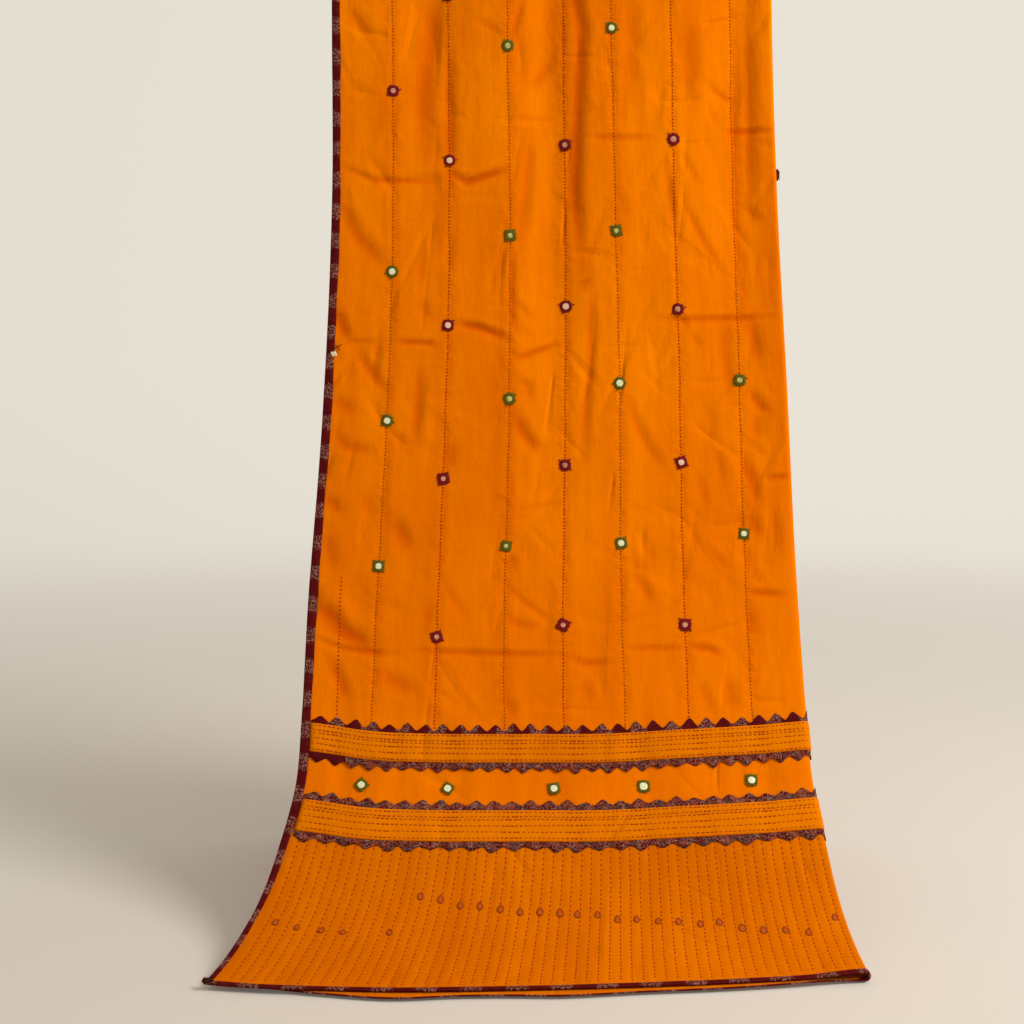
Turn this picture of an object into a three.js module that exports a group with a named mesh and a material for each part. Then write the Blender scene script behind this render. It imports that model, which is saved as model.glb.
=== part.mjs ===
// Applique dupatta, folded lengthwise with its right sides out and hung over a wooden rod.
// Millimetres, +Z up, +X along the rod, -Y towards the front. The origin is the rod's centre.
//
// Two numbers name a place on the cloth. "across" runs from the outer free edge (0) round the
// lengthwise fold (500) to the inner free edge (1000). "along" runs from the front hem (0) over
// the rod to the back hem (2500). Every piece is made from one net of points on the cloth's right
// side, moved in or out by its own "lift", so the pieces lie on each other without touching.
import * as THREE from "three";

// The cut cloth
const CLOTH_LENGTH = 2500;
const CLOTH_WIDTH = 1000;
const FOLD_ACROSS = CLOTH_WIDTH / 2;
const WALL = { low: -1.2, high: 0 };

// The lengthwise fold: the two layers lie 6 mm apart and open to 9 mm where they turn
const LAYER_HALF_GAP = 3;
const FOLD_RADIUS = 4.5;
const FOLD_HALF_WIDTH = 8.6;
const FOLD_EASE_WIDTH = 45;

// The rod and the turn of the cloth over it
const ROD_RADIUS = 15;
const ROD_LENGTH = 640;
const ROD_SIDES = 24;
const TURN_RADIUS = 20;

// The drape seen from the side, from the front hem up to the rod. The hem lies flat, the front
// drop rises from it ever more steeply, turns over the rod and falls straight down at the back.
const HANG_ANGLE = -90;
const FRONT_DROP = [
  { stretch: "end panel", length: 183, endAngle: 48 },
  { stretch: "border", length: 135, endAngle: 62 },
  { stretch: "low field", length: 300, endAngle: 78 },
  { stretch: "high field", length: 697, endAngle: 87 },
];

// The folded cloth's outline seen from the front: where its two sides are at each height
const OUTLINE = [
  { along: 0, left: -312, right: 274 },
  { along: 70, left: -292, right: 268 },
  { along: 120, left: -278, right: 264 },
  { along: 175, left: -266, right: 260 },
  { along: 240, left: -254, right: 254 },
  { along: 310, left: -252, right: 252 },
  { along: 440, left: -250, right: 250 },
  { along: 650, left: -239, right: 246 },
  { along: 870, left: -232, right: 238 },
  { along: 1085, left: -233, right: 233 },
  { along: 1330, left: -233, right: 232 },
  { along: 1700, left: -236, right: 235 },
  { along: 2180, left: -250, right: 248 },
  { along: 2500, left: -268, right: 262 },
];
const INNER_EDGE_INSET = 10;

// How far the lines across the border and the hem rise towards the rod, over the folded width:
// "at" is a share of that width, from the free edges (0) to the fold (1)
const CROSS_RISE = [
  { at: 0, border: 13, hem: 15 },
  { at: 0.06, border: 9, hem: 9 },
  { at: 0.12, border: 4, hem: 5 },
  { at: 0.18, border: 1.5, hem: 3 },
  { at: 0.3, border: 0, hem: 0 },
  { at: 0.45, border: 0, hem: 3 },
  { at: 0.6, border: 0.3, hem: 8 },
  { at: 0.75, border: 4.5, hem: 15 },
  { at: 0.9, border: 9, hem: 24 },
  { at: 1, border: 13, hem: 31 },
];
const HEM_RISE_REACH = 190;
const FRONT_RISE_END = 900;
const BACK_RISE_START = 1600;
const RISE_EASE = 500;

// The inner layer has slipped forward under the front hem, unevenly
const HEM_SLIP = 9;
const HEM_SLIP_WAVE = 2.5;
const HEM_SLIP_WAVES = 2.6;
const HEM_SLIP_EASE = 60;
const HEM_SLIP_FADE = 250;

// Soft troughs that run down both drops. "at" and "width" are shares of the folded width,
// "depth" is in mm, and the two ends are where along the cloth the trough has run out.
const TROUGHS = [
  { at: 0.23, width: 0.055, depth: 6, frontEnd: 700, backEnd: 2110 },
  { at: 0.5, width: 0.038, depth: 6, frontEnd: 420, backEnd: 1980 },
  { at: 0.93, width: 0.05, depth: 6, frontEnd: 520, backEnd: 2110 },
];
const TROUGH_EASE = 420;

// The share of its depth that a trough keeps where the cloth lies on the wood
const TROUGH_SHARE_ON_ROD = 0.3;
const ROD_HOLD_REACH = 250;
const ROD_LIFT = 1.6;
const ROD_LIFT_REACH = 110;

// The back hem hangs free in slow waves
const BACK_HEM_WAVES = 2.3;
const BACK_HEM_DEPTH = 7;
const BACK_HEM_START = 2300;
const BACK_HEM_REACH = 200;

// The border of each end, measured from its hem
const LOWER_BAND = { from: 194, to: 226.5 };
const UPPER_BAND = { from: 276, to: 305.5 };
const SEAM_GAP = 0.3;
const SEAM_UNDER_BAND = 3;
const PRINT_LIFT = { low: 0.3, high: 1.3 };
const BAND_LIFT = { low: 1.6, high: 2.6 };
const TOOTH_ROOT = 2.5;
const TOOTH_HEIGHT = 9.5;
const TEETH_PER_LAYER = 26;

// The folded binding tape
const BINDING_WIDTH = 8;
const BINDING_WALL = 1;
const BINDING_GAP = 0.3;
const BINDING_CLEAR = BINDING_WIDTH + 0.6;

// Where the net of points has its columns, as shares of one layer's width, and its rows. One
// more column runs beside each edge binding.
const LAYER_SHARES = [
  0.07, 0.125, 0.18, 0.23, 0.285, 0.35, 0.42, 0.49, 0.56, 0.63, 0.7, 0.77, 0.83, 0.88, 0.935,
];
const FOLD_COLUMNS = 4;
const END_PANEL_ROWS = 8;
const FRONT_FIELD_ROWS = [345, 400, 470, 550, 640, 740, 850, 960, 1070, 1170, 1240];
const TURN_START = 1301;
const TURN_END = 1381;
const TURN_ROWS = 9;
const BACK_FIELD_ROWS = [1430, 1520, 1630, 1750, 1880, 2010, 2110];
const BACK_PANEL_ROWS = [2400, CLOTH_LENGTH];
const CLOSEST_ROWS = 1;

const BORDER_MIDDLE = (LOWER_BAND.to + UPPER_BAND.from) / 2;
const BORDER_ROWS = [
  LOWER_BAND.from - TOOTH_ROOT,
  LOWER_BAND.to + TOOTH_ROOT,
  BORDER_MIDDLE,
  UPPER_BAND.from - TOOTH_ROOT,
  UPPER_BAND.to + TOOTH_ROOT,
];

const COTTON_ORANGE = { color: 0xe0720a, roughness: 0.86, metalness: 0 };
const BAND_ORANGE = { color: 0xe67a10, roughness: 0.86, metalness: 0 };
const PANEL_ORANGE = { color: 0xd66a08, roughness: 0.88, metalness: 0 };
const PRINT_MAROON = { color: 0x5c1820, roughness: 0.85, metalness: 0 };
const ROD_WOOD = { color: 0xb98a58, roughness: 0.55, metalness: 0 };

// ---- The shape of the hanging cloth ----

function smooth(share) {
  const t = THREE.MathUtils.clamp(share, 0, 1);
  return t * t * (3 - 2 * t);
}

// A smooth curve through one column of a table whose rows are in order of the column "key"
function curveThrough(table, key, column, value) {
  let i = 0;
  while (i < table.length - 2 && value > table[i + 1][key]) i += 1;
  const before = table[Math.max(i - 1, 0)];
  const start = table[i];
  const end = table[i + 1];
  const after = table[Math.min(i + 2, table.length - 1)];
  const span = end[key] - start[key];
  const startSlope = (end[column] - before[column]) / (end[key] - before[key]);
  const endSlope = (after[column] - start[column]) / (after[key] - start[key]);
  const t = THREE.MathUtils.clamp((value - start[key]) / span, 0, 1);
  const endWeight = t * t * (3 - 2 * t);
  const startLean = t * (1 - t) * (1 - t);
  const endLean = t * t * (t - 1);
  return start[column] * (1 - endWeight) + end[column] * endWeight
    + (startSlope * startLean + endSlope * endLean) * span;
}

// The stretches of the drape as arcs, with the rod's centre at the origin
function layOutDrape() {
  const rodAngle = FRONT_DROP[FRONT_DROP.length - 1].endAngle;
  const turnLength = TURN_RADIUS * THREE.MathUtils.degToRad(rodAngle - HANG_ANGLE);
  const rows = [
    ...FRONT_DROP,
    { stretch: "over the rod", length: turnLength, endAngle: HANG_ANGLE },
    { stretch: "back drop", length: CLOTH_LENGTH, endAngle: HANG_ANGLE },
  ];
  const stretches = [];
  let from = 0;
  let angle = 0;
  let place = new THREE.Vector2(0, 0);
  for (const row of rows) {
    const bend = (THREE.MathUtils.degToRad(row.endAngle) - angle) / row.length;
    const arc = { from, angle, bend, place };
    stretches.push(arc);
    place = pointOnArc(arc, row.length);
    from += row.length;
    angle += bend * row.length;
  }
  const turn = stretches[FRONT_DROP.length];
  const rodCentre = turn.place.clone();
  rodCentre.x += TURN_RADIUS * Math.sin(turn.angle);
  rodCentre.y -= TURN_RADIUS * Math.cos(turn.angle);
  for (const arc of stretches) arc.place = arc.place.clone().sub(rodCentre);
  return stretches;
}

// The side view's point at a distance along one arc, with x for the world's Y and y for its Z
function pointOnArc(arc, distance) {
  const angle = arc.angle + arc.bend * distance;
  if (Math.abs(arc.bend) < 1e-9) {
    const step = new THREE.Vector2(Math.cos(arc.angle), Math.sin(arc.angle));
    return arc.place.clone().addScaledVector(step, distance);
  }
  return new THREE.Vector2(
    arc.place.x + (Math.sin(angle) - Math.sin(arc.angle)) / arc.bend,
    arc.place.y - (Math.cos(angle) - Math.cos(arc.angle)) / arc.bend,
  );
}

const DRAPE = layOutDrape();
const ROD_TOP_ALONG = DRAPE[FRONT_DROP.length].from + TURN_RADIUS * Math.PI / 2;

// The middle of the folded cloth at a distance from the front hem. Before the hem line the
// cloth goes on flat.
function drapeAt(distance) {
  if (distance < 0) {
    const start = DRAPE[0].place;
    return { y: start.x + distance, z: start.y, angle: 0 };
  }
  const arc = DRAPE.findLast((stretch) => distance >= stretch.from);
  const place = pointOnArc(arc, distance - arc.from);
  return { y: place.x, z: place.y, angle: arc.angle + arc.bend * (distance - arc.from) };
}

// How far the folded cloth stands out from its smooth drape: minus in the troughs, and a
// little out over the rod, so that the troughs still clear the wood
function billow(share, along) {
  const fromRod = Math.abs(along - ROD_TOP_ALONG);
  const strength = THREE.MathUtils.lerp(TROUGH_SHARE_ON_ROD, 1, smooth(fromRod / ROD_HOLD_REACH));
  let out = ROD_LIFT * (1 - smooth(fromRod / ROD_LIFT_REACH));
  for (const trough of TROUGHS) {
    const offset = (share - trough.at) / trough.width;
    const fromEnd = Math.min(along - trough.frontEnd, trough.backEnd - along);
    out -= trough.depth * strength * smooth(fromEnd / TROUGH_EASE) * Math.exp(-offset * offset / 2);
  }
  const hemWave = Math.cos(2 * Math.PI * BACK_HEM_WAVES * share);
  return out + BACK_HEM_DEPTH * hemWave * smooth((along - BACK_HEM_START) / BACK_HEM_REACH);
}

// How far a place is drawn towards the rod of its own drop, as a step along the cloth
function riseAt(share, along) {
  const border = curveThrough(CROSS_RISE, "at", "border", share);
  if (along > BACK_RISE_START) {
    return -border * smooth((along - BACK_RISE_START) / RISE_EASE);
  }
  const hem = curveThrough(CROSS_RISE, "at", "hem", share);
  const rise = THREE.MathUtils.lerp(hem, border, smooth(along / HEM_RISE_REACH));
  return rise * smooth((FRONT_RISE_END - along) / RISE_EASE);
}

// How far the inner layer has slipped towards the front hem
function slipAt(across, along) {
  const inner = smooth((across - FOLD_ACROSS) / HEM_SLIP_EASE);
  const wave = Math.sin(2 * Math.PI * HEM_SLIP_WAVES * across / CLOTH_WIDTH);
  const fade = 1 - smooth(along / HEM_SLIP_FADE);
  return inner * fade * (HEM_SLIP + HEM_SLIP_WAVE * wave);
}

// A point on the cloth's right side
function rightSide(across, along) {
  const fromFold = Math.abs(across - FOLD_ACROSS);
  const isInner = across > FOLD_ACROSS;
  const outerLeft = curveThrough(OUTLINE, "along", "left", along);
  const left = outerLeft + (isInner ? INNER_EDGE_INSET : 0);
  const right = curveThrough(OUTLINE, "along", "right", along) - FOLD_RADIUS;
  const flatWidth = FOLD_ACROSS - FOLD_HALF_WIDTH;
  let x;
  let height;
  if (fromFold < FOLD_HALF_WIDTH) {
    const turn = (across - FOLD_ACROSS + FOLD_HALF_WIDTH) / (2 * FOLD_HALF_WIDTH) * Math.PI;
    x = right + FOLD_RADIUS * Math.sin(turn);
    height = FOLD_RADIUS * Math.cos(turn);
  } else {
    const share = (FOLD_ACROSS - fromFold) / flatWidth;
    const ease = 1 - smooth((fromFold - FOLD_HALF_WIDTH) / FOLD_EASE_WIDTH);
    x = left + (right - left) * share;
    height = LAYER_HALF_GAP + (FOLD_RADIUS - LAYER_HALF_GAP) * ease;
    if (isInner) height = -height;
  }
  const widthShare = (x - outerLeft) / (right - outerLeft);
  const distance = along + riseAt(widthShare, along) - slipAt(across, along);
  const drape = drapeAt(distance);
  const out = height + billow(widthShare, along);
  const y = drape.y - Math.sin(drape.angle) * out;
  const z = drape.z + Math.cos(drape.angle) * out;
  return new THREE.Vector3(x, y, z);
}

// ---- The net of points ----

function layerColumns() {
  const flatWidth = FOLD_ACROSS - FOLD_HALF_WIDTH;
  const outer = [0, BINDING_CLEAR, ...LAYER_SHARES.map((share) => share * flatWidth)];
  const fold = evenSteps(flatWidth, flatWidth + 2 * FOLD_HALF_WIDTH, FOLD_COLUMNS);
  const inner = outer.map((across) => CLOTH_WIDTH - across).reverse();
  return [...outer, ...fold, ...inner];
}

function evenSteps(from, to, count) {
  return Array.from({ length: count + 1 }, (_, i) => from + (to - from) * i / count);
}

function netRows() {
  const frontPanel = evenSteps(0, BORDER_ROWS[0], END_PANEL_ROWS).slice(0, -1);
  const turn = evenSteps(TURN_START, TURN_END, TURN_ROWS);
  const backBorder = BORDER_ROWS.map((row) => CLOTH_LENGTH - row).reverse();
  return [...frontPanel, ...BORDER_ROWS, ...FRONT_FIELD_ROWS, ...turn, ...BACK_FIELD_ROWS,
    ...backBorder, ...BACK_PANEL_ROWS];
}

const COLUMNS = layerColumns();
const ROWS = netRows();
const SLOPE_STEP = 0.5;

function outwards(across, along) {
  const acrossStep = rightSide(across + SLOPE_STEP, along).sub(rightSide(across - SLOPE_STEP, along));
  const alongStep = rightSide(across, along + SLOPE_STEP).sub(rightSide(across, along - SLOPE_STEP));
  return acrossStep.cross(alongStep).normalize();
}

function makeNet() {
  return ROWS.map((along) => COLUMNS.map((across) => ({
    point: rightSide(across, along),
    out: outwards(across, along),
  })));
}

const NET = makeNet();

function cellOf(list, value) {
  let i = 0;
  while (i < list.length - 2 && value > list[i + 1]) i += 1;
  return { i, t: (value - list[i]) / (list[i + 1] - list[i]) };
}

// The net's point at a place on the cloth, moved out by "lift". A place just past an edge
// carries on straight.
function spot(across, along, lift) {
  const column = cellOf(COLUMNS, across);
  const row = cellOf(ROWS, along);
  const corner = (rowStep, columnStep) => {
    const knot = NET[row.i + rowStep][column.i + columnStep];
    return knot.point.clone().addScaledVector(knot.out, lift);
  };
  const near = corner(0, 0).lerp(corner(0, 1), column.t);
  const far = corner(1, 0).lerp(corner(1, 1), column.t);
  return near.lerp(far, row.t);
}

// ---- Closed solids ----

function closedGeometry(points, triangles) {
  let volume = 0;
  for (const [a, b, c] of triangles) {
    volume += points[a].dot(points[b].clone().cross(points[c]));
  }
  const index = triangles.flatMap(([a, b, c]) => (volume > 0 ? [a, b, c] : [a, c, b]));
  const geometry = new THREE.BufferGeometry();
  geometry.setFromPoints(points);
  geometry.setIndex(index);
  geometry.computeVertexNormals();
  return geometry;
}

// A wall over a patch of the cloth, given as places { across, along } and triangles of them
function wallOver(places, triangles, lift) {
  const count = places.length;
  const outer = places.map((place) => spot(place.across, place.along, lift.high));
  const inner = places.map((place) => spot(place.across, place.along, lift.low));
  const sides = new Map();
  for (const [a, b, c] of triangles) {
    for (const [from, to] of [[a, b], [b, c], [c, a]]) {
      if (!sides.delete(`${to},${from}`)) sides.set(`${from},${to}`, [from, to]);
    }
  }
  const all = [...triangles];
  for (const [a, b, c] of triangles) all.push([a + count, c + count, b + count]);
  for (const [from, to] of sides.values()) {
    all.push([from, from + count, to + count], [from, to + count, to]);
  }
  return closedGeometry([...outer, ...inner], all);
}

function gridWall(columns, rows, lift) {
  const places = rows.flatMap((along) => columns.map((across) => ({ across, along })));
  const triangles = [];
  for (let r = 0; r < rows.length - 1; r += 1) {
    for (let c = 0; c < columns.length - 1; c += 1) {
      const start = r * columns.length + c;
      const above = start + columns.length;
      triangles.push([start, start + 1, above + 1], [start, above + 1, above]);
    }
  }
  return wallOver(places, triangles, lift);
}

// A folded tape: a U-shaped section, given as { inset, lift }, carried along the stations
function foldedTape(stations, placeAt) {
  const high = BINDING_GAP + BINDING_WALL;
  const low = WALL.low - BINDING_GAP - BINDING_WALL;
  const outside = -BINDING_GAP - BINDING_WALL;
  const section = [
    { inset: BINDING_WIDTH, lift: high },
    { inset: outside, lift: high },
    { inset: outside, lift: low },
    { inset: BINDING_WIDTH, lift: low },
    { inset: BINDING_WIDTH, lift: low + BINDING_WALL },
    { inset: -BINDING_GAP, lift: low + BINDING_WALL },
    { inset: -BINDING_GAP, lift: high - BINDING_WALL },
    { inset: BINDING_WIDTH, lift: high - BINDING_WALL },
  ];
  const size = section.length;
  const points = stations.flatMap((station) => section.map((corner) => {
    const place = placeAt(station, corner.inset);
    return spot(place.across, place.along, corner.lift);
  }));
  const triangles = [];
  for (let s = 0; s < stations.length - 1; s += 1) {
    for (let k = 0; k < size; k += 1) {
      const a = s * size + k;
      const b = s * size + (k + 1) % size;
      triangles.push([a, b, b + size], [a, b + size, a + size]);
    }
  }
  const outline = section.map((corner) => new THREE.Vector2(corner.inset, corner.lift));
  const last = (stations.length - 1) * size;
  const capTurn = THREE.ShapeUtils.isClockWise(outline) ? 1 : -1;
  for (const [a, b, c] of THREE.ShapeUtils.triangulateShape(outline, [])) {
    const cap = capTurn > 0 ? [a, b, c] : [a, c, b];
    triangles.push(cap, [cap[0] + last, cap[2] + last, cap[1] + last]);
  }
  return closedGeometry(points, triangles);
}

// ---- The pieces ----

function namedMesh(name, geometry, look) {
  const mesh = new THREE.Mesh(geometry, new THREE.MeshStandardMaterial(look));
  mesh.name = name;
  return mesh;
}

// A place measured from an end's hem, as a place along the whole cloth
function fromHem(end, distance) {
  return end === "front" ? distance : CLOTH_LENGTH - distance;
}

function rowsBetween(first, last) {
  const from = Math.min(first, last);
  const to = Math.max(first, last);
  const between = ROWS.filter((row) => row > from + CLOSEST_ROWS && row < to - CLOSEST_ROWS);
  return [from, ...between, to];
}

const LOWER_SEAM = LOWER_BAND.to - SEAM_UNDER_BAND;
const UPPER_SEAM = UPPER_BAND.from + SEAM_UNDER_BAND;

function makeField() {
  const edge = UPPER_SEAM + SEAM_GAP / 2;
  const rows = rowsBetween(fromHem("front", edge), fromHem("back", edge));
  return namedMesh("field", gridWall(COLUMNS, rows, WALL), COTTON_ORANGE);
}

function makeMirrorStrip(end) {
  const low = fromHem(end, LOWER_SEAM + SEAM_GAP / 2);
  const high = fromHem(end, UPPER_SEAM - SEAM_GAP / 2);
  const rows = rowsBetween(low, high);
  return namedMesh(`mirror_strip_${end}`, gridWall(COLUMNS, rows, WALL), COTTON_ORANGE);
}

function makeEndPanel(end) {
  const rows = rowsBetween(fromHem(end, 0), fromHem(end, LOWER_SEAM - SEAM_GAP / 2));
  return namedMesh(`end_panel_${end}`, gridWall(COLUMNS, rows, WALL), PANEL_ORANGE);
}

function makeBand(name, end, band) {
  const rows = [fromHem(end, band.from), fromHem(end, band.to)].sort((a, b) => a - b);
  const columnsBetweenBindings = COLUMNS.slice(1, -1);
  return namedMesh(`band_${name}_${end}`, gridWall(columnsBetweenBindings, rows, BAND_LIFT), BAND_ORANGE);
}

// A strip with a row of teeth on both edges. A narrow margin shows beyond the band before the
// teeth start. They stand on the even steps of each layer, and the strip has none on the fold.
function makeSawtooth(name, end, band) {
  const foldStart = FOLD_ACROSS - FOLD_HALF_WIDTH;
  const outerSteps = evenSteps(BINDING_CLEAR, foldStart, TEETH_PER_LAYER);
  const foldSteps = evenSteps(foldStart, foldStart + 2 * FOLD_HALF_WIDTH, FOLD_COLUMNS).slice(1, -1);
  const innerSteps = outerSteps.map((across) => CLOTH_WIDTH - across).reverse();
  const steps = [...outerSteps, ...foldSteps, ...innerSteps];
  const edges = [fromHem(end, band.from - TOOTH_ROOT), fromHem(end, band.to + TOOTH_ROOT)];
  const [low, high] = edges.sort((a, b) => a - b);
  const count = steps.length;
  const places = [
    ...steps.map((across) => ({ across, along: low })),
    ...steps.map((across) => ({ across, along: high })),
  ];
  const triangles = [];
  for (let i = 0; i < count - 1; i += 1) {
    triangles.push([i, i + 1, i + 1 + count], [i, i + 1 + count, i + count]);
    const middle = (steps[i] + steps[i + 1]) / 2;
    if (Math.abs(middle - FOLD_ACROSS) > FOLD_HALF_WIDTH) {
      const tip = places.length;
      places.push({ across: middle, along: low - TOOTH_HEIGHT });
      places.push({ across: middle, along: high + TOOTH_HEIGHT });
      triangles.push([i, tip, i + 1], [i + count, i + 1 + count, tip + 1]);
    }
  }
  return namedMesh(`sawtooth_${name}_${end}`, wallOver(places, triangles, PRINT_LIFT), PRINT_MAROON);
}

function makeHemBinding(end) {
  const tape = foldedTape(COLUMNS, (across, inset) => ({ across, along: fromHem(end, inset) }));
  return namedMesh(`hem_binding_${end}`, tape, PRINT_MAROON);
}

function makeEdgeBinding(layer) {
  const stations = rowsBetween(BINDING_CLEAR, CLOTH_LENGTH - BINDING_CLEAR);
  const acrossAt = (inset) => (layer === "outer" ? inset : CLOTH_WIDTH - inset);
  const tape = foldedTape(stations, (along, inset) => ({ across: acrossAt(inset), along }));
  return namedMesh(`edge_binding_${layer}`, tape, PRINT_MAROON);
}

function makeRod() {
  const geometry = new THREE.CylinderGeometry(ROD_RADIUS, ROD_RADIUS, ROD_LENGTH, ROD_SIDES);
  const rod = namedMesh("hanging_rod", geometry, ROD_WOOD);
  rod.rotation.z = Math.PI / 2;
  return rod;
}

const dupatta = new THREE.Group();
dupatta.add(makeRod(), makeField());
for (const end of ["front", "back"]) {
  dupatta.add(makeMirrorStrip(end), makeEndPanel(end), makeHemBinding(end));
  for (const [name, band] of [["upper", UPPER_BAND], ["lower", LOWER_BAND]]) {
    dupatta.add(makeSawtooth(name, end, band), makeBand(name, end, band));
  }
}
for (const layer of ["outer", "inner"]) dupatta.add(makeEdgeBinding(layer));

export default dupatta;
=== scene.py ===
"""The looks of the applique dupatta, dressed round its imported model.

The cloth's surface is worked out here from the same sizes as the solids. A place on it has two
numbers in millimetres: "across" runs from the outer free edge (0) round the lengthwise fold (500)
to the inner free edge (1000), and "along" from the front hem (0) over the rod to the back hem
(2500). Meshes are laid on that surface and turned into metres at the end.
"""
import itertools
import math

import bpy
import numpy as np
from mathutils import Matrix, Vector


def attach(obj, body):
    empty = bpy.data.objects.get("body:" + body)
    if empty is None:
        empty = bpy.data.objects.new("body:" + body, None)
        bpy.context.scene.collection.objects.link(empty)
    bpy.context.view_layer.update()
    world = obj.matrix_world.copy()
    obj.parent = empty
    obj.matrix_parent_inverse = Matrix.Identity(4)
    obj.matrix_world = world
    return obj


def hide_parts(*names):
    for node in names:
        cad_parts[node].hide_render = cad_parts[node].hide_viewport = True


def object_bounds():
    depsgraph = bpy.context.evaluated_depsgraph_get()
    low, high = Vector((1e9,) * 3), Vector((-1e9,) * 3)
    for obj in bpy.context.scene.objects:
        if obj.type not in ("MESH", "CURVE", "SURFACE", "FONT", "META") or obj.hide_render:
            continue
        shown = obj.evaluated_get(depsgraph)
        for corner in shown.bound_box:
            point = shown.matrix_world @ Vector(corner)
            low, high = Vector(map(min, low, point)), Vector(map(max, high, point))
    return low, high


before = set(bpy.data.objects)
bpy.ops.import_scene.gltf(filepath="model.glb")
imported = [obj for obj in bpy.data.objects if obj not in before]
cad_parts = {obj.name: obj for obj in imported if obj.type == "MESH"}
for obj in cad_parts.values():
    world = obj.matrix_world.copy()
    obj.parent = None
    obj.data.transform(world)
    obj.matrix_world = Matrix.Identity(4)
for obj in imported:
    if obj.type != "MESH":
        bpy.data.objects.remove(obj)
cad_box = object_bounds()

METRES_PER_MM = 0.001
draws = np.random.default_rng(27)


def table(columns, rows):
    return np.array(rows, dtype=[(name, float) for name in columns])


# ---- Sizes of the cloth and its drape, in millimetres, as in the solids ----

CLOTH_LENGTH = 2500.0
CLOTH_WIDTH = 1000.0
FOLD_ACROSS = CLOTH_WIDTH / 2
LAYER_HALF_GAP = 3.0
FOLD_RADIUS = 4.5
FOLD_HALF_WIDTH = 8.6
FOLD_EASE_WIDTH = 45.0
FLAT_WIDTH = FOLD_ACROSS - FOLD_HALF_WIDTH
INNER_EDGE_INSET = 10.0
TURN_RADIUS = 20.0
HANG_ANGLE = math.radians(-90)

FRONT_DROP = table(("length", "end_angle"), [(183, 48), (135, 62), (300, 78), (697, 87)])
OUTLINE = table(("along", "left", "right"), [
    (0, -312, 274), (70, -292, 268), (120, -278, 264), (175, -266, 260), (240, -254, 254),
    (310, -252, 252), (440, -250, 250), (650, -239, 246), (870, -232, 238), (1085, -233, 233),
    (1330, -233, 232), (1700, -236, 235), (2180, -250, 248), (2500, -268, 262),
])
CROSS_RISE = table(("at", "border", "hem"), [
    (0, 13, 15), (0.06, 9, 9), (0.12, 4, 5), (0.18, 1.5, 3), (0.3, 0, 0), (0.45, 0, 3),
    (0.6, 0.3, 8), (0.75, 4.5, 15), (0.9, 9, 24), (1, 13, 31),
])
HEM_RISE_REACH = 190.0
FRONT_RISE_END = 900.0
BACK_RISE_START = 1600.0
RISE_EASE = 500.0
# How far the inner layer has slipped out under the front hem, over the folded width
HEM_SLIP = table(("at", "slip"), [
    (0, -6), (0.1, -4), (0.17, 3), (0.28, 11), (0.38, 7), (0.46, 8), (0.54, 11), (0.66, 7),
    (0.78, 6), (0.9, 3), (0.96, 0), (1, 0),
])
HEM_SLIP_FADE = 250.0

# The two layers come closer together where they lie on the floor
HEM_HALF_GAP = 1.6
HEM_GAP_REACH = 90.0
TROUGHS = table(("at", "width", "depth", "front_end", "back_end"), [
    (0.23, 0.055, 6, 700, 2110), (0.5, 0.038, 6, 420, 1980), (0.93, 0.05, 6, 520, 2110),
])
TROUGH_EASE = 420.0
TROUGH_SHARE_ON_ROD = 0.3
ROD_HOLD_REACH = 250.0
ROD_LIFT = 1.6
ROD_LIFT_REACH = 110.0
BACK_HEM_WAVES = 2.3
BACK_HEM_DEPTH = 7.0
BACK_HEM_START = 2300.0
BACK_HEM_REACH = 200.0

LOWER_BAND = (194.0, 226.5)
UPPER_BAND = (276.0, 305.5)
SEAM_GAP = 0.3
SEAM_UNDER_BAND = 3.0
TOOTH_ROOT = 2.5
TOOTH_HEIGHT = 9.5
BINDING_WIDTH = 8.0
BINDING_CLEAR = BINDING_WIDTH + 0.6
TURN_START = 1301.0
TURN_END = 1381.0

# How far each layer of cloth stands off the right side's surface
CLOTH_WALL = (-0.8, 0.0)
PRINT_WALL = (0.25, 0.8)
BAND_WALL = (0.95, 1.9)
FIELD_WALL = (-1.3, 0.0)


# ---- The hanging cloth's surface ----

def smooth(share):
    t = np.clip(share, 0, 1)
    return t * t * (3 - 2 * t)


def curve_through(rows, key, column, at):
    """A smooth curve through one column of a table whose rows are in order of its key column."""
    keys = rows[key]
    values = rows[column]
    slopes = np.empty(len(keys))
    slopes[1:-1] = (values[2:] - values[:-2]) / (keys[2:] - keys[:-2])
    slopes[0] = (values[1] - values[0]) / (keys[1] - keys[0])
    slopes[-1] = (values[-1] - values[-2]) / (keys[-1] - keys[-2])
    i = np.clip(np.searchsorted(keys, at) - 1, 0, len(keys) - 2)
    span = keys[i + 1] - keys[i]
    t = np.clip((at - keys[i]) / span, 0, 1)
    end_weight = smooth(t)
    lean = slopes[i] * t * (1 - t) ** 2 + slopes[i + 1] * t * t * (t - 1)
    return values[i] * (1 - end_weight) + values[i + 1] * end_weight + lean * span


def chord(angle, bend, distance):
    """The step from one end of an arc to the other, in the side view."""
    middle = angle + bend * distance / 2
    reach = distance * np.sinc(bend * distance / (2 * math.pi))
    return np.stack([reach * np.cos(middle), reach * np.sin(middle)], axis=-1)


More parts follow.
